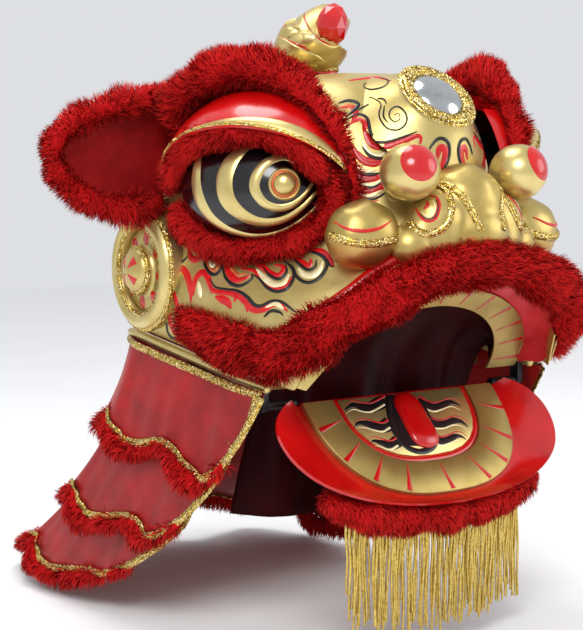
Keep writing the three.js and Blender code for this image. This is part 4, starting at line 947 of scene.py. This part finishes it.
for word, low, side in sides:
    lidPiece = lidShell("eyelid" + word, side, *lidGrid(0, -lid["wall"]))
    dress(lidPiece, redLacquer, "lid_" + low, "red_lacquer", "eyelid_" + low)
    behind = [face[slice(*groove["kept"])] for face in lidGrid(*groove["grid"])]
    # the groove behind the lid carries the painted shade
    dress(lidShell("browGroove" + word, side, *behind), browShadeRed, "head", "red_lacquer")
    # beading along the lid's lower edge, and a gold crescent above it
    outer, _ = lidGrid(0, 0)
    edge, above = (fromEye(outer[2:-2, row], side) for row in (0, 4))
    out = unit((outer[2:-2, 0] * [0, 1, 1]) @ eyeBasis) * [side, 1, 1]
    line = edge + (above - edge) * 0.12 + out * 0.6 * mm
    braid("lid" + word, line, out, 4.5, 2.0, 1.2, 1.9)
    part = slice(*crescent["part"])
    t = np.linspace(0, 1, crescent["part"][1] - crescent["part"][0])
    width = (1 + crescent["width"] * np.sin(np.pi * t ** 1.5) ** 0.9) * mm
    places = edge[part] + unit(above - edge)[part] * (width[:, None] * 0.5 + crescent["above"] * mm)
    key = "crescent" + word
    paints[key] = [ribbon(places, out[part], width, 1.3, treeOf(lidPiece), 0.2)[::side]]
    finishPaint(key, "lidCrescent" + word, brightGold, "lid_" + low, "gold_shell", False)
    finishBraid("lid" + word, "lidBeading" + word, "lid_" + low, False)
print("eyes ready")

# Mirror, feeler balls, medallions
glass = lathePiece("mirrorGlass", mirror["glass"], mirror["at"], mirror["axis"])
dress(glass, silverGlass, "head", "mirror_glass", "mirror")
frameRing = lathePiece("mirrorRing", mirror["ring"], mirror["at"], mirror["axis"])
dress(frameRing, brightGold, "head", "gold_braid", "mirror_ring")


def braidRings(key, centre, axis, rings, size, pitch):  # rings: radius, width, lift, height, lean outward
    for radius, width, lift, height, lean in rings:
        places, axes = ringLine(centre, axis, radius, 200)
        outward = unit(places - np.array(centre) * mm)
        braid(key, places + axes * height * mm, unit(axes + outward * lean), width, lift, size, pitch)


braidRings("mirror", mirror["at"], mirror["axis"], mirror["braids"], 1.7, 2.4)
finishBraid("mirror", "mirrorBraid", "head", False)
feeler = {"ball": (95, -239, 267), "radius": 38, "squash": 0.95, "facing": (0.312, -0.895, 0.386),
          "cap": (36.67, 38.9), "capEdge": (41, 38, 30, 20, 10, 0), "foot": (84, -188, 232), "coil": 8.5,
          "wire": 1.3, "twist": 50}
medallion = {"at": (259, 114, 135), "turn": 5,
             "ring": [(80, -28), (81, -4), (79.5, 3), (75, 8.5), (69, 10.6), (63, 8.5), (58.5, 3), (56.5, -4),
                      (56.5, -12)],
             "boss": [(56, -8), (55, -4), (44, -2), (35, -2), (31, 2), (30, 8), (28, 14), (22, 19), (14, 23),
                      (6, 25), (0, 25.4)],
             "braids": ((80.5, 7, 2.4, 0, 1.0), (60, 6, 2.4, 5.5, -0.6), (30.5, 6, 2.4, 9, 1.0)),
             "inlay": (6, 24, 2, 17), "petal": (35, 18, 6, 5, 12)}
for word, low, side in sides:
    centre = np.array(feeler["ball"]) * [side, 1.0, 1.0]
    bpy.ops.mesh.primitive_uv_sphere_add(segments=64, ring_count=40, radius=feeler["radius"] * mm)
    ball = bpy.context.object
    ball.name = "feelerBall" + word
    ball.location = centre * mm
    ball.scale = (1, 1, feeler["squash"])
    smoothShaded(settled(ball))
    dress(ball, brightGold, "head", "gold_shell", "feeler_ball_" + low)
    wide, tall = feeler["cap"]
    cap = [(wide * math.sin(a), tall * math.cos(a)) for a in np.radians(feeler["capEdge"])]
    inset = lathePiece("ballInset" + word, cap, centre, np.array(feeler["facing"]) * [side, 1, 1], 64, 1)
    dress(inset, redLacquer, "head", "red_lacquer")
    foot, top = np.array(feeler["foot"], float), np.array(feeler["ball"], float)
    along = (top - foot) / np.linalg.norm(top - foot)
    across = unit(np.cross([along], [[0, 0, 1]]))[0]
    t = np.linspace(0, 1, 160)[:, None]
    turn = feeler["twist"] * t
    winding = across * np.cos(turn) + np.cross(along, across) * np.sin(turn)
    wire = (foot + (top - foot) * t + feeler["coil"] * winding) * mm * [side, 1, 1]
    coil = smoothShaded(gridPiece("feelerSpring" + word, [tube(wire, feeler["wire"] * mm, 6)]))
    dress(coil, brightGold, "head", "gold_braid", "feeler_spring_" + low)
    centre = np.array(medallion["at"]) * [side, 1.0, 1.0]
    turn = math.radians(medallion["turn"])
    axis = np.array([side * math.cos(turn), math.sin(turn), 0])
    ringPiece = lathePiece("medallionRing" + word, medallion["ring"], centre, axis)
    dress(ringPiece, brightGold, "head", "gold_shell", "medallion_ring_" + low)
    bossPiece = lathePiece("medallionBoss" + word, medallion["boss"], centre, axis)
    dress(bossPiece, shellGold, "head", "gold_shell", "medallion_boss_" + low)
    braidRings("medal" + word, centre, axis, medallion["braids"], 1.5, 2.2)
    finishBraid("medal" + word, "medallionBraid" + word, "head", False)
    first = unit(np.cross([axis], [[0, 0, 1.0]]))[0]
    second = np.cross(first, axis)
    bossTree = treeOf(bossPiece)
    inlays = paints.setdefault("inlay" + word, [])
    near, far, narrow, wide = medallion["inlay"]
    for k in range(4):  # red inlays on the boss, and red petals in the recess round it
        a = math.radians(45 + 90 * k)
        ray = first * math.cos(a) + second * math.sin(a)
        places = (centre + axis * 24 + np.outer(np.linspace(near, far, 8), ray)) * mm
        normals = unit(np.tile(axis, (8, 1)) + np.outer(np.linspace(0, 0.6, 8), ray))
        inlays.append(ribbon(places, normals, np.linspace(narrow, wide, 8) * mm, 0.6, bossTree, 0.1))
    start, reach, curl, narrow, swell = medallion["petal"]
    t = np.linspace(0, 1, 9)
    width = narrow + swell * np.sin(np.pi * np.linspace(0.1, 0.95, 9))
    for k in range(8):
        a = math.radians(45 * k + 10)
        ray = first * math.cos(a) + second * math.sin(a)
        bend = np.outer(curl * t * t, np.cross(axis, ray))
        places = (centre - axis * 2 + np.outer(start + reach * t, ray) + bend) * mm
        inlays.append(ribbon(places, np.tile(axis, (9, 1)), width * mm, 0.8, bossTree, 0.1))
    finishPaint("inlay" + word, "medallionInlay" + word, redLacquer, "head", "red_lacquer", False)
print("mirror, balls and medallions ready")

# Upper gum, jaw, tongue
gum = {"y": -112, "z": -8, "tilt": 52, "outer": (222, 158), "inner": (166, 128), "wall": 4, "power": 1.9}
jaw = {"y": -110, "z": -28, "tilt": 48, "wall": 5, "flare": 14, "rear": 164, "outer": (168, 156),
       "inner": (118, 108), "power": 2.6,
       "edge": [(190, 4), (206, 12), (226, 30), (236, 60), (228, 98), (200, 132), (148, 160), (78, 177),
                (0, 183)]}


def archPlace(half, rise, a, lift):  # on the upper gum's slope, in millimetres
    t = math.radians(gum["tilt"])
    x = half * math.copysign(abs(math.sin(a)) ** (2 / gum["power"]), math.sin(a))
    q = rise * abs(math.cos(a)) ** (2 / gum["power"])
    return (x, gum["y"] - q * math.cos(t) + lift * math.sin(t), gum["z"] + q * math.sin(t) + lift * math.cos(t))


def gumPlace(f, a, lift):  # on the gum, f from its inner to its outer edge
    half, rise = (low + (high - low) * f for low, high in zip(gum["inner"], gum["outer"]))
    return archPlace(half, rise, a, lift)


def onJaw(x, q, lift):
    t = math.radians(jaw["tilt"])
    return (x, jaw["y"] - q * math.cos(t) - lift * math.sin(t), jaw["z"] - q * math.sin(t) + lift * math.cos(t))


def jawArch(half, reach, a):
    x = half * math.copysign(abs(math.sin(a)) ** (2 / jaw["power"]), math.sin(a))
    return x, jaw["edge"][0][1] + 2 + reach * abs(math.cos(a)) ** (2 / jaw["power"])


def jawGumPlace(f, a, lift):
    half, reach = (low + (high - low) * f for low, high in zip(jaw["inner"], jaw["outer"]))
    return onJaw(*jawArch(half, reach, a), lift)


def closedStrip(name, rings):  # a closed body from rings of places, capped at both ends
    grid = np.array(rings) * mm
    grid = np.concatenate([grid, grid[:, :1]], 1)
    return smoothShaded(sealed(gridPiece(name, [grid]), 0.001 * mm), 40)


angles = [math.radians(-90 + 180 * i / 120) for i in range(121)]
section = [(0, 0.2), (0, 3.2), (0.05, 4), (0.95, 4), (1, 3.2), (1, 0.2)]
upperGum = closedStrip("upperGumBand", [[gumPlace(f, a, h) for f, h in section] for a in angles])
dress(upperGum, shadedGumGold, "head", "gold_shell", "upper_gum")


def wedgeMarks(key, count, start, toPlace, normal, wide):
    for k in range(count):
        a = math.radians(start + (180 - 2 * start) * k / (count - 1) - 90)
        places = np.array([toPlace(f, a) for f in np.linspace(0.96, 0.12, 8)]) * mm
        width = np.linspace(wide, 0.8, 8) * mm
        paints.setdefault(key, []).append(ribbon(places, np.tile(normal, (8, 1)), width, 0.35, None, 0.1))


t = math.radians(gum["tilt"])
gumUp = np.array([0, math.sin(t), math.cos(t)])
wedgeMarks("gumWedges", 13, 8, lambda f, a: gumPlace(f, a, 4.2), gumUp, 6.5)
wedgeMarks("gumWedges", 13, 8, lambda f, a: gumPlace(f, a, -0.1), -gumUp, 6.5)
finishPaint("gumWedges", "upperGumWedges", redLacquer, "head", "red_lacquer", False)


def jawOutline(count):
    half = [tableAt(jaw["edge"], i / count) for i in range(count + 1)]
    half[-1] = (0, half[-1][1])
    return half + [(-x, q) for x, q in half[-2::-1]]


edge = jawOutline(60)
rings = []
for j, (x, q) in enumerate(edge):
    a = math.radians(90 - 180 * j / (len(edge) - 1))
    gx, gq = jawArch(jaw["outer"][0] + 3, jaw["outer"][1] + 3, a)
    rear = (jaw["rear"] * math.cos(math.pi * j / 120), jaw["edge"][0][1] - 3)
    line = []
    for f in np.linspace(0, 1, 5):
        line.append((rear[0] + (gx - rear[0]) * f, rear[1] + (gq - rear[1]) * f, 0.0))
    for f in np.linspace(0.12, 1, 8):
        line.append((gx + (x - gx) * f, gq + (q - gq) * f, jaw["flare"] * f ** 1.4))
    top = [onJaw(*p) for p in line]
    bottom = [onJaw(u, v, w - jaw["wall"]) for u, v, w in line]
    rings.append(top + bottom[::-1])
jawPiece = closedStrip("jawPlate", rings)
dress(jawPiece, redLacquer, "jaw", "red_lacquer", "jaw")
section = [(0, 0.3), (0, 5.8), (0.04, 7), (0.96, 7), (1, 5.8), (1, 0.3)]
lowerGum = closedStrip("lowerGumBand", [[jawGumPlace(f, a, h) for f, h in section] for a in angles])
dress(lowerGum, shadedGumGold, "jaw", "gold_shell", "jaw_gum")
t = math.radians(jaw["tilt"])
jawUp = (0, -math.sin(t), math.cos(t))
wedgeMarks("jawWedges", 9, 11, lambda f, a: jawGumPlace(f, a, 7.2), jawUp, 8)
finishPaint("jawWedges", "lowerGumWedges", redLacquer, "jaw", "red_lacquer", False)
panelPiece = bevelledCopy("jaw_panel", "jawPanel", 0.8, 30)
dress(panelPiece, brightGold, "jaw", "gold_shell", "jaw_panel")
panelTree = treeOf(panelPiece)
# red U between gum and panel
uLine = [onJaw(*jawArch(jaw["inner"][0] - 5, jaw["inner"][1] - 5, a), 1.5) for a in angles]
paints["jawU"] = [ribbon(np.array(uLine) * mm, np.tile(jawUp, (len(uLine), 1)), 12 * mm, 2.6, None, 0.5)]
finishPaint("jawU", "redGumLine", redLacquer, "jaw", "red_lacquer", False)
jawFlames = [
    (8, [(384.5, 400), (378, 404), (370, 407.5), (362, 407), (352.5, 405), (344.5, 410.5)]),
    (8, [(390, 423), (383, 427), (375, 426), (366, 423.5), (358, 423.5), (353, 429)]),
    (7, [(398, 441), (390.5, 445), (382, 443), (373, 441), (368, 445.5)]),
    (8, [(418, 400), (425, 404), (434, 407), (441.5, 405), (451, 402), (461, 406)]),
    (8, [(430, 421.5), (437, 424), (445, 423.5), (453, 420.5), (461, 421.5), (468.5, 427)]),
    (7, [(435, 438), (441.5, 441), (450, 438.5), (456, 436), (462.5, 437), (467, 441)]),
]
for width, pixels in jawFlames:
    paint("jawBlack", pixels, width * 1.45, 0.35, panelTree, "tip", deep=0.1)
    paint("jawRed", [(x, y - 4.2) for x, y in pixels], 2.2, 0.5, panelTree, "tip")
    paint("jawCream", [(x, y + 4.4) for x, y in pixels], 2.2, 0.5, panelTree, "tip")
tonguePad = [(400, 396), (403, 406), (408, 420), (414, 434), (419, 446)]
tongueEdge = [(388, 398), (390, 416), (395, 432), (405, 445), (413, 450), (422.5, 451.5), (432, 447),
              (435, 438), (430, 421), (420, 400)]
paint("jawBlack", tonguePad, 44, 0.6, panelTree, "none", 1.42)
paint("jawBlack", tongueEdge, 6, 0.7, panelTree, "none")
finishPaint("jawBlack", "tongueFlames", blackPaint, "jaw", "black_lacquer", False)
finishPaint("jawRed", "flameEdgesRed", redPaint, "jaw", "red_lacquer", False)
finishPaint("jawCream", "flameEdgesCream", creamPaint, "jaw", "gold_shell", False)
tongue = {"middle": 50, "half": 45, "wide": 23, "tall": 8.5, "foot": 5.2}
rings = []
for f in np.linspace(-1, 1, 41):
    wide = tongue["wide"] * math.sqrt(max(1 - abs(f) ** 5, 0)) * (1 + 0.08 * f) + 0.05
    tall = tongue["tall"] * math.sqrt(max(1 - abs(f) ** 6, 0))
    reach = tongue["middle"] + tongue["half"] * f
    rings.append([onJaw(wide * math.cos(a), reach, tongue["foot"] + tall * max(math.sin(a), 0) ** 0.8)
                  for a in np.linspace(0, math.pi, 15)])
tonguePiece = closedStrip("tongue", rings)
dress(tonguePiece, redLacquer, "jaw", "red_lacquer", "tongue")
print("mouth ready")

# Cape: three satin tiers with ripples, hemmed with braid
cape = {"edge": [(246, -140, -8, 1, -0.1), (248, -80, 0, 1, -0.02), (251, 10, 14, 1, 0), (252, 90, 27, 1, 0.05),
                 (247, 160, 38, 0.95, 0.3), (205, 205, 44, 0.6, 0.8), (110, 226, 48, 0.2, 0.98),
                 (0, 232, 50, 0, 1)],
        "lobes": 3.5, "front": 0.14, "flare": 0.14, "start": 0.2, "side": 0.42, "rear": 0.2, "rearFrom": 0.7,
        "drop": 290, "seatDepth": 28, "round": 0.34}
tiers = [{"from": 0, "start": 0, "drop": 128, "scallop": 34, "seat": 0, "inset": 0},
         {"from": 0.09, "start": 66, "drop": 180, "scallop": 36, "seat": 3.2, "inset": 17},
         {"from": 0.15, "start": 172, "drop": 172, "scallop": 36, "seat": 20.2, "inset": 34}]


def capePlace(a, w, inset):
    x, y, z, ox, oy = tableAt(cape["edge"], a)
    size = math.hypot(ox, oy)
    ox, oy = ox / size, oy / size
    gain = cape["side"] + cape["rear"] * min(1, a / cape["rearFrom"])
    back = w * (cape["start"] + gain * w / cape["drop"])
    return (x + ox * (cape["flare"] * w - inset), y - oy * inset + back, z - w)


def tierDrop(tier, a):
    lobe = math.hypot(math.sin(math.pi * cape["lobes"] * a), cape["round"]) / math.hypot(1, cape["round"])
    front = math.sin(math.pi / 2 * min(1, (a - tier["from"]) / cape["front"]))
    return (tier["drop"] - tier["scallop"] + tier["scallop"] * lobe) * (0.03 + 0.97 * front)


def tierPlace(tier, part, f, ripple=1.0):  # part from 0 at the left front to 2 at the right front
    near = part if part <= 1 else 2 - part
    a = tier["from"] + (1 - tier["from"]) * near
    w = tier["start"] + tierDrop(tier, a) * f
    inset = tier["seat"] + (tier["inset"] - tier["seat"]) * min(1, (w - tier["start"]) / cape["seatDepth"])
    wave = math.sin(41 * near + 2.5 * math.sin(9 * near) + 0.9 * f) + 0.5 * math.sin(83 * near + 3 * f)
    inset += 1.0 - ripple * 2.4 * wave * f ** 0.8
    x, y, z = capePlace(a, w, inset)
    return (x if part <= 1 else -x, y, z)


def flatSize(grid):  # metres: length of the middle row, and a height that gives the area with 2% for the hem
    along, down = np.diff(grid, axis=0)[:, :-1], np.diff(grid, axis=1)[:-1]
    area = np.linalg.norm(np.cross(along, down), axis=2).sum()
    width = np.linalg.norm(np.diff(grid[:, (grid.shape[1] - 1) // 2], axis=0), axis=1).sum()
    return round(float(width), 3), round(float(area / width * 1.02), 3)


for k, tier in enumerate(tiers, 1):
    columns, rows = 210, 12
    grid = np.array([[tierPlace(tier, 2 * i / columns, j / rows) for j in range(rows + 1)]
                     for i in range(columns + 1)]) * mm
    name = f"capeTier{k}"
    cloth = smoothShaded(gridPiece(name, [grid[::-1]]))
    applied(cloth, "SOLIDIFY", thickness=1.2 * mm, offset=0)
    dress(cloth, redSatin, "head", "red_satin", f"cape_tier_{k}")
    line = np.array([tierPlace(tier, 2 * i / 360, 0.985) for i in range(361)]) * mm
    out = np.array([tierPlace(tier, 2 * i / 360, 0.985, 0) for i in range(361)]) * mm
    outward = unit(np.cross(np.gradient(out, axis=0), [[0, -0.25, -1.0]]))
    middle = np.array([0, 60, 0]) * mm
    outward = outward * np.sign(np.sum(outward * (out - middle) * [1, 1, 0], axis=1, keepdims=True))
    braid(f"cape{k}", line + outward * 1.6 * mm, outward, 9.5, 3.4, 1.6, 2.6)
    if k == 1:
        top = np.array([tierPlace(tier, 2 * i / 300, 0.035, 0) for i in range(301)]) * mm
        up = unit(np.cross(np.gradient(top, axis=0), [[0, 0, -1.0]]))
        up = up * np.sign(np.sum(up * (top - middle) * [1, 1, 0], axis=1, keepdims=True))
        braid("cape1", top + up * 1.6 * mm, up, 9, 3.4, 1.6, 2.4)
        for part in (0.035, 1.965):
            front = np.array([tierPlace(tier, part, f) for f in np.linspace(0.02, 0.98, 40)]) * mm
            side = np.array([1.0 if part < 1 else -1.0, -0.25, 0.1])
            facing = np.tile(side / np.linalg.norm(side), (40, 1))
            braid("cape1", front + side * mm, facing, 8, 2.6, 1.6, 2.6)
    finishBraid(f"cape{k}", f"capeBraid{k}", "head", False)
    print(name, "flat", flatSize(grid))


# Mouth cloth, dark and glossy, gathered from the gum's inner edge
curtain = {"half": 192, "rise": 142, "fold": 5, "wing": 70, "below": 0.8, "columns": 144, "rows": 30,
           "course": [(0, 0, 1, 0), (-78, 40, 0.55, 0), (-76, 10, 0.12, 0.1), (-72, -60, 0, 0.5),
                      (-66, -130, 0, 0.8), (-60, -190, 0, 1)]}  # y, z, share of the arch, share of the wings
grid = []
for i in range(curtain["columns"] + 1):
    a = math.radians(-90 + 180 * i / curtain["columns"])
    x0, y0, z0 = archPlace(curtain["half"], curtain["rise"], a, gum["wall"] + curtain["below"])
    fold = curtain["fold"] * math.sin(2.2 * i / 12) + 1.0 * math.sin(2 * math.pi * i / 13)
    sweep = curtain["wing"] * abs(math.sin(a)) ** 6
    column = []
    for j in range(curtain["rows"] + 1):
        y, z, keep, wing = tableAt(curtain["course"], j / curtain["rows"])
        keep = min(max(keep, 0), 1)
        column.append((x0 * (0.98 + 0.02 * keep), y0 * keep + (y + fold + sweep * wing) * (1 - keep) + 0.8,
                       z0 * keep + z * (1 - keep)))
    grid.append(column)
grid = np.array(grid) * mm
cloth = smoothShaded(applied(gridPiece("mouthCloth", [grid]), "SOLIDIFY", thickness=1.2 * mm, offset=0))
dress(cloth, darkCloth, "head", "dark_cloth", "mouth_cloth")
print("mouthCloth flat", flatSize(grid))

liningPiece = smoothShaded(applied(mergedCopy("lip_lining", "lipLining"), "SUBSURF", levels=2), 60)
dress(liningPiece, liningSatin, "head", "red_satin", "lip_lining")

# Bullion fringe: wavy metal threads under the jaw's fur
fringe = mergedCopy("fringe", "fringeGuide")
guide = np.array([v.co for v in fringe.data.vertices])
bpy.data.objects.remove(fringe)
xs = guide[:, 0]
strand = {"count": 125, "long": 0.118, "longer": 0.03, "thick": 0.0019, "sway": 0.006, "wander": 0.0022}
strands = []
for k in range(strand["count"]):
    f = (k + chance.uniform(0.1, 0.9)) / strand["count"]
    x = xs.min() + (xs.max() - xs.min()) * f
    nearby = guide[np.abs(xs - x) < 0.03]
    high = nearby[:, 2].max() + 0.004
    y = nearby[nearby[:, 2] > nearby[:, 2].max() - 0.03][:, 1].mean() + chance.normal(0, strand["wander"])
    long = (strand["long"] + strand["longer"] * chance.random()) * (1.0 if k % 11 else 0.7)
    phase, sway = chance.uniform(0, 6.28), chance.uniform(-strand["sway"], strand["sway"])
    t = np.linspace(0, 1, 16)
    wave = 0.0010 * np.sin(9 * t + phase) + 0.0002 * np.sin(31 * t + phase)
    swing = 0.002 * t + 0.0014 * np.cos(8 * t + phase)
    path = np.stack([x + sway * t ** 2 + wave, y + swing, high - long * t], 1)
    r = strand["thick"] * (1 - 0.2 * t)[:, None]
    turns = [np.array([math.cos(a), math.sin(a), 0]) for a in np.linspace(0, 2 * math.pi, 7)]
    strands.append(np.stack([path + r * turn for turn in turns], 1)[::-1])
dress(smoothShaded(gridPiece("bullionFringe", strands)), bullion, "jaw", "gold_braid", "fringe")

# Ears, horn and the rest
for word, low, side in sides:
    ear = roundedCopy("ear_" + low, "earScoop" + word, 2)
    middle = Vector((side * 326, 98, 292)) * mm  # grown a little round it, so the edge goes into the fur
    grow = Matrix.Diagonal((1.05, 1, 1.09, 1))
    ear.data.transform(Matrix.Translation(middle) @ grow @ Matrix.Translation(-middle))
    # the ear's satin carries painted shade
    dress(ear, earSatinPaintedShade, "ear_" + low, "red_satin", "ear_" + low)
    hinge = bevelledCopy("jaw_hinge_" + low, "jawBracket" + word, 0.8, 35)
    dress(hinge, darkMetal, "head", "dark_cloth", "jaw_hinge_" + low)
barPiece = bevelledCopy("hand_bar", "handBar", 1.2, 40)
dress(barPiece, barWood, "head", "bar_wood", "hand_bar")

horn = {"foot": (0, 52, 392), "flat": 0.85, "laps": 2, "twist": 3.1, "lap": 0.3,
        "body": [(0, 0, 21), (-4, 12, 25), (-22, 26, 47), (-27, 46, 53), (-17, 66, 50), (-3, 86, 40),
                 (6, 100, 24), (8, 108, 6)],  # x, height and radius up the bud
        "collar": [(38.5, -24), (38.5, -2), (36, 3), (31, 7.5), (24, 8.4), (2, 8.4)],
        "neck": (-2, 52, 392), "band": [(22, 6), (24.5, 7), (25.5, 10.5), (24.5, 14.5), (22, 15.5)],
        "beading": (((0, 52, 396), 37, 150, 0.6, (5, 2.2, 1.4, 2.2)),
                    ((-2, 52, 409), 24, 120, 0.3, (3.5, 1.8, 1.2, 2.0)))}
up = (0, 0, 1)
_, middleY, footZ = horn["foot"]
rings = []
for i in range(73):
    f = i / 72
    x, z, r = tableAt(horn["body"], f)
    fold = horn["lap"] * math.sin(math.pi * min(max(f * 1.1, 0.05), 1)) ** 0.6
    ring = []
    for j in range(72):
        a = 2 * math.pi * j / 72
        turn = (a / (2 * math.pi) * horn["laps"] + f * horn["twist"]) % 1.0
        wide = r * (1 + fold * (turn ** 1.8 - 0.45))
        ring.append((x + wide * math.cos(a), middleY + horn["flat"] * wide * math.sin(a), footZ + z))
    rings.append(ring)
hornPiece = closedStrip("hornBud", rings)
dress(hornPiece, shellGold, "head", "gold_shell", "horn")
collar = lathePiece("hornCollar", horn["collar"], horn["foot"], up)
dress(collar, shellGold, "head", "gold_shell", "horn_collar")
band = lathePiece("hornNeckBand", horn["band"], horn["neck"], up)
dress(band, redLacquer, "head", "red_lacquer")
for centre, radius, steps, rise, cord in horn["beading"]:
    places, axes = ringLine(centre, up, radius, steps)
    braid("horn", places, unit(unit(places - np.array(centre) * mm) + axes * rise), *cord)
finishBraid("horn", "hornBeading", "head", False)
jewel = {"half": (25, 22, 31), "turn": (0.2, -0.1, 0.3), "place": (-13, 13, 467)}
bpy.ops.mesh.primitive_ico_sphere_add(subdivisions=2, radius=1)
gem = bpy.context.object
gem.name = "hornGem"
gem.scale = Vector(jewel["half"]) * mm
gem.rotation_euler = jewel["turn"]
gem.location = Vector(jewel["place"]) * mm
settled(gem)
dress(gem, redGlass, "head", "red_lacquer", "horn_gem")
hornTree = treeOf(hornPiece)


def lap(places, normals, width, lift, tree):  # a petal of the bud: one edge stands clear, the other sinks in
    side = unit(np.cross(np.gradient(places, axis=0), normals))
    t = np.linspace(0.04, 0.96, len(places))
    width = (width * mm * np.sin(np.pi * t) ** 0.6)[:, None]
    rows = []
    for across, up in ((0, -0.5), (0.02, 0.85), (0.09, 1), (0.4, 0.75), (0.75, 0.35), (1, -0.1)):
        spots = np.array([tree.find_nearest(Vector(spot))[0] for spot in places + side * width * across])
        rows.append(spots + normals * up * lift * mm * np.sin(np.pi * t)[:, None] ** 0.5)
    return np.stack(rows, 1)


for width, pixels in ((30, [(266, 30), (278, 35.5), (292, 42.5), (306, 49.5), (318, 55), (326, 62)]),
                      (24, [(303, 4), (304, 18), (309, 29), (318, 39), (331, 45.5), (341, 45)]),
                      (22, [(288, 38), (286.5, 27), (289, 14), (297, 4)])):
    for places, normals in traced(pixels, hornTree):
        paints.setdefault("hornPetals", []).append(lap(places, normals, width, 4.5, hornTree))
finishPaint("hornPetals", "hornPetals", brightGold, "head", "gold_shell", False)
for pixels in ([(268.5, 31.5), (278, 36), (292.5, 43), (307.5, 49), (317, 53)],
               [(280, 24), (286, 26.5), (289, 36.5)],
               [(305, 7), (304.5, 18), (309, 29), (318, 39), (331.5, 45.5)]):
    paint("hornRed", pixels, 2.6, 0.8, hornTree)
finishPaint("hornRed", "hornRedLines", redLacquer, "head", "red_lacquer", False)
faceBraids = [
    ("nose", noseTree, 8.775, [(435, 185), (443, 188), (449, 196), (451.5, 206), (450.5, 217), (445, 226.5),
                               (435, 232.5), (424, 233.5), (414.5, 228.5), (409.5, 222.5)]),
    ("nose", noseTree, 8.775, [(437, 183.5), (446, 184.5), (456.5, 191), (464.5, 199), (472, 211), (477, 221.5),
                               (482, 230.5)]),
    ("drum", drumTree, 9.45, [(330, 235), (340, 239), (352, 242), (366, 244), (380, 243), (392, 240),
                              (400, 237)]),
]
for key in ("nose", "drum"):
    for _, tree, width, pixels in (row for row in faceBraids if row[0] == key):
        for places, normals in traced(pixels, tree):
            braid(key, places, normals, width, 2.6, 1.4, 2.2)
    finishBraid(key, key + "Braid", "head")
finishPaint("red", "redFlames", redPaint, "head", "red_lacquer")
finishPaint("cream", "creamFlames", creamPaint, "head", "gold_shell")
finishPaint("black", "blackFlames", blackPaint, "head", "black_lacquer")
finishPaint("copper", "copperFlames", copperPaint, "head", "gold_shell")
for node in nodes.values():
    if not node.data.materials:
        node.data.materials.append(shellGold)
added = [piece.data for piece in bpy.data.objects if piece.type == "MESH" and piece.name not in nodes]
print("dressed, triangles added:", sum(len(p.vertices) - 2 for mesh in added for p in mesh.polygons))

# Light, floor, camera

studio = {"world": "#F2F4F8", "strength": 0.82, "aim": (0, 0, 0.1), "floor": 12, "floorBelow": 0.012,
          "lamps": [("keyLight", (-2.2, -2.4, 2.6), 1.6, 85), ("fillLight", (2.4, -2.0, 1.0), 2.0, 26),
                    ("topLight", (-0.2, 0.6, 3.0), 1.6, 40)]}  # name, place, size, power


def addLamp(name, place, size, power):
    data = bpy.data.lights.new(name, "AREA")
    data.shape = "DISK"
    data.size = size
    data.energy = power
    lamp = bpy.data.objects.new(name, data)
    lamp.location = place
    lamp.rotation_euler = (Vector(studio["aim"]) - Vector(place)).to_track_quat("-Z", "Y").to_euler()
    bpy.context.scene.collection.objects.link(lamp)


def addStudio():
    world = bpy.data.worlds.new("studio")
    world.use_nodes = True
    background = world.node_tree.nodes["Background"]
    background.inputs["Color"].default_value = linear(studio["world"])
    background.inputs["Strength"].default_value = studio["strength"]
    bpy.context.scene.world = world
    for row in studio["lamps"]:
        addLamp(*row)
    bpy.ops.mesh.primitive_plane_add(size=studio["floor"], location=(0, 0, cadBox[0][2] - studio["floorBelow"]))
    floor = bpy.context.object
    floor.name = "studioFloor"
    material = plainMaterial("paperBackdrop", "#F4F4F4", "#F7F7F7", 0.9, 0.0, 0.5)
    floor.data.materials.append(material)
    settled(floor)
    bpy.context.scene.view_settings.view_transform = "Standard"


addStudio()
addCamera()
print("studio ready")
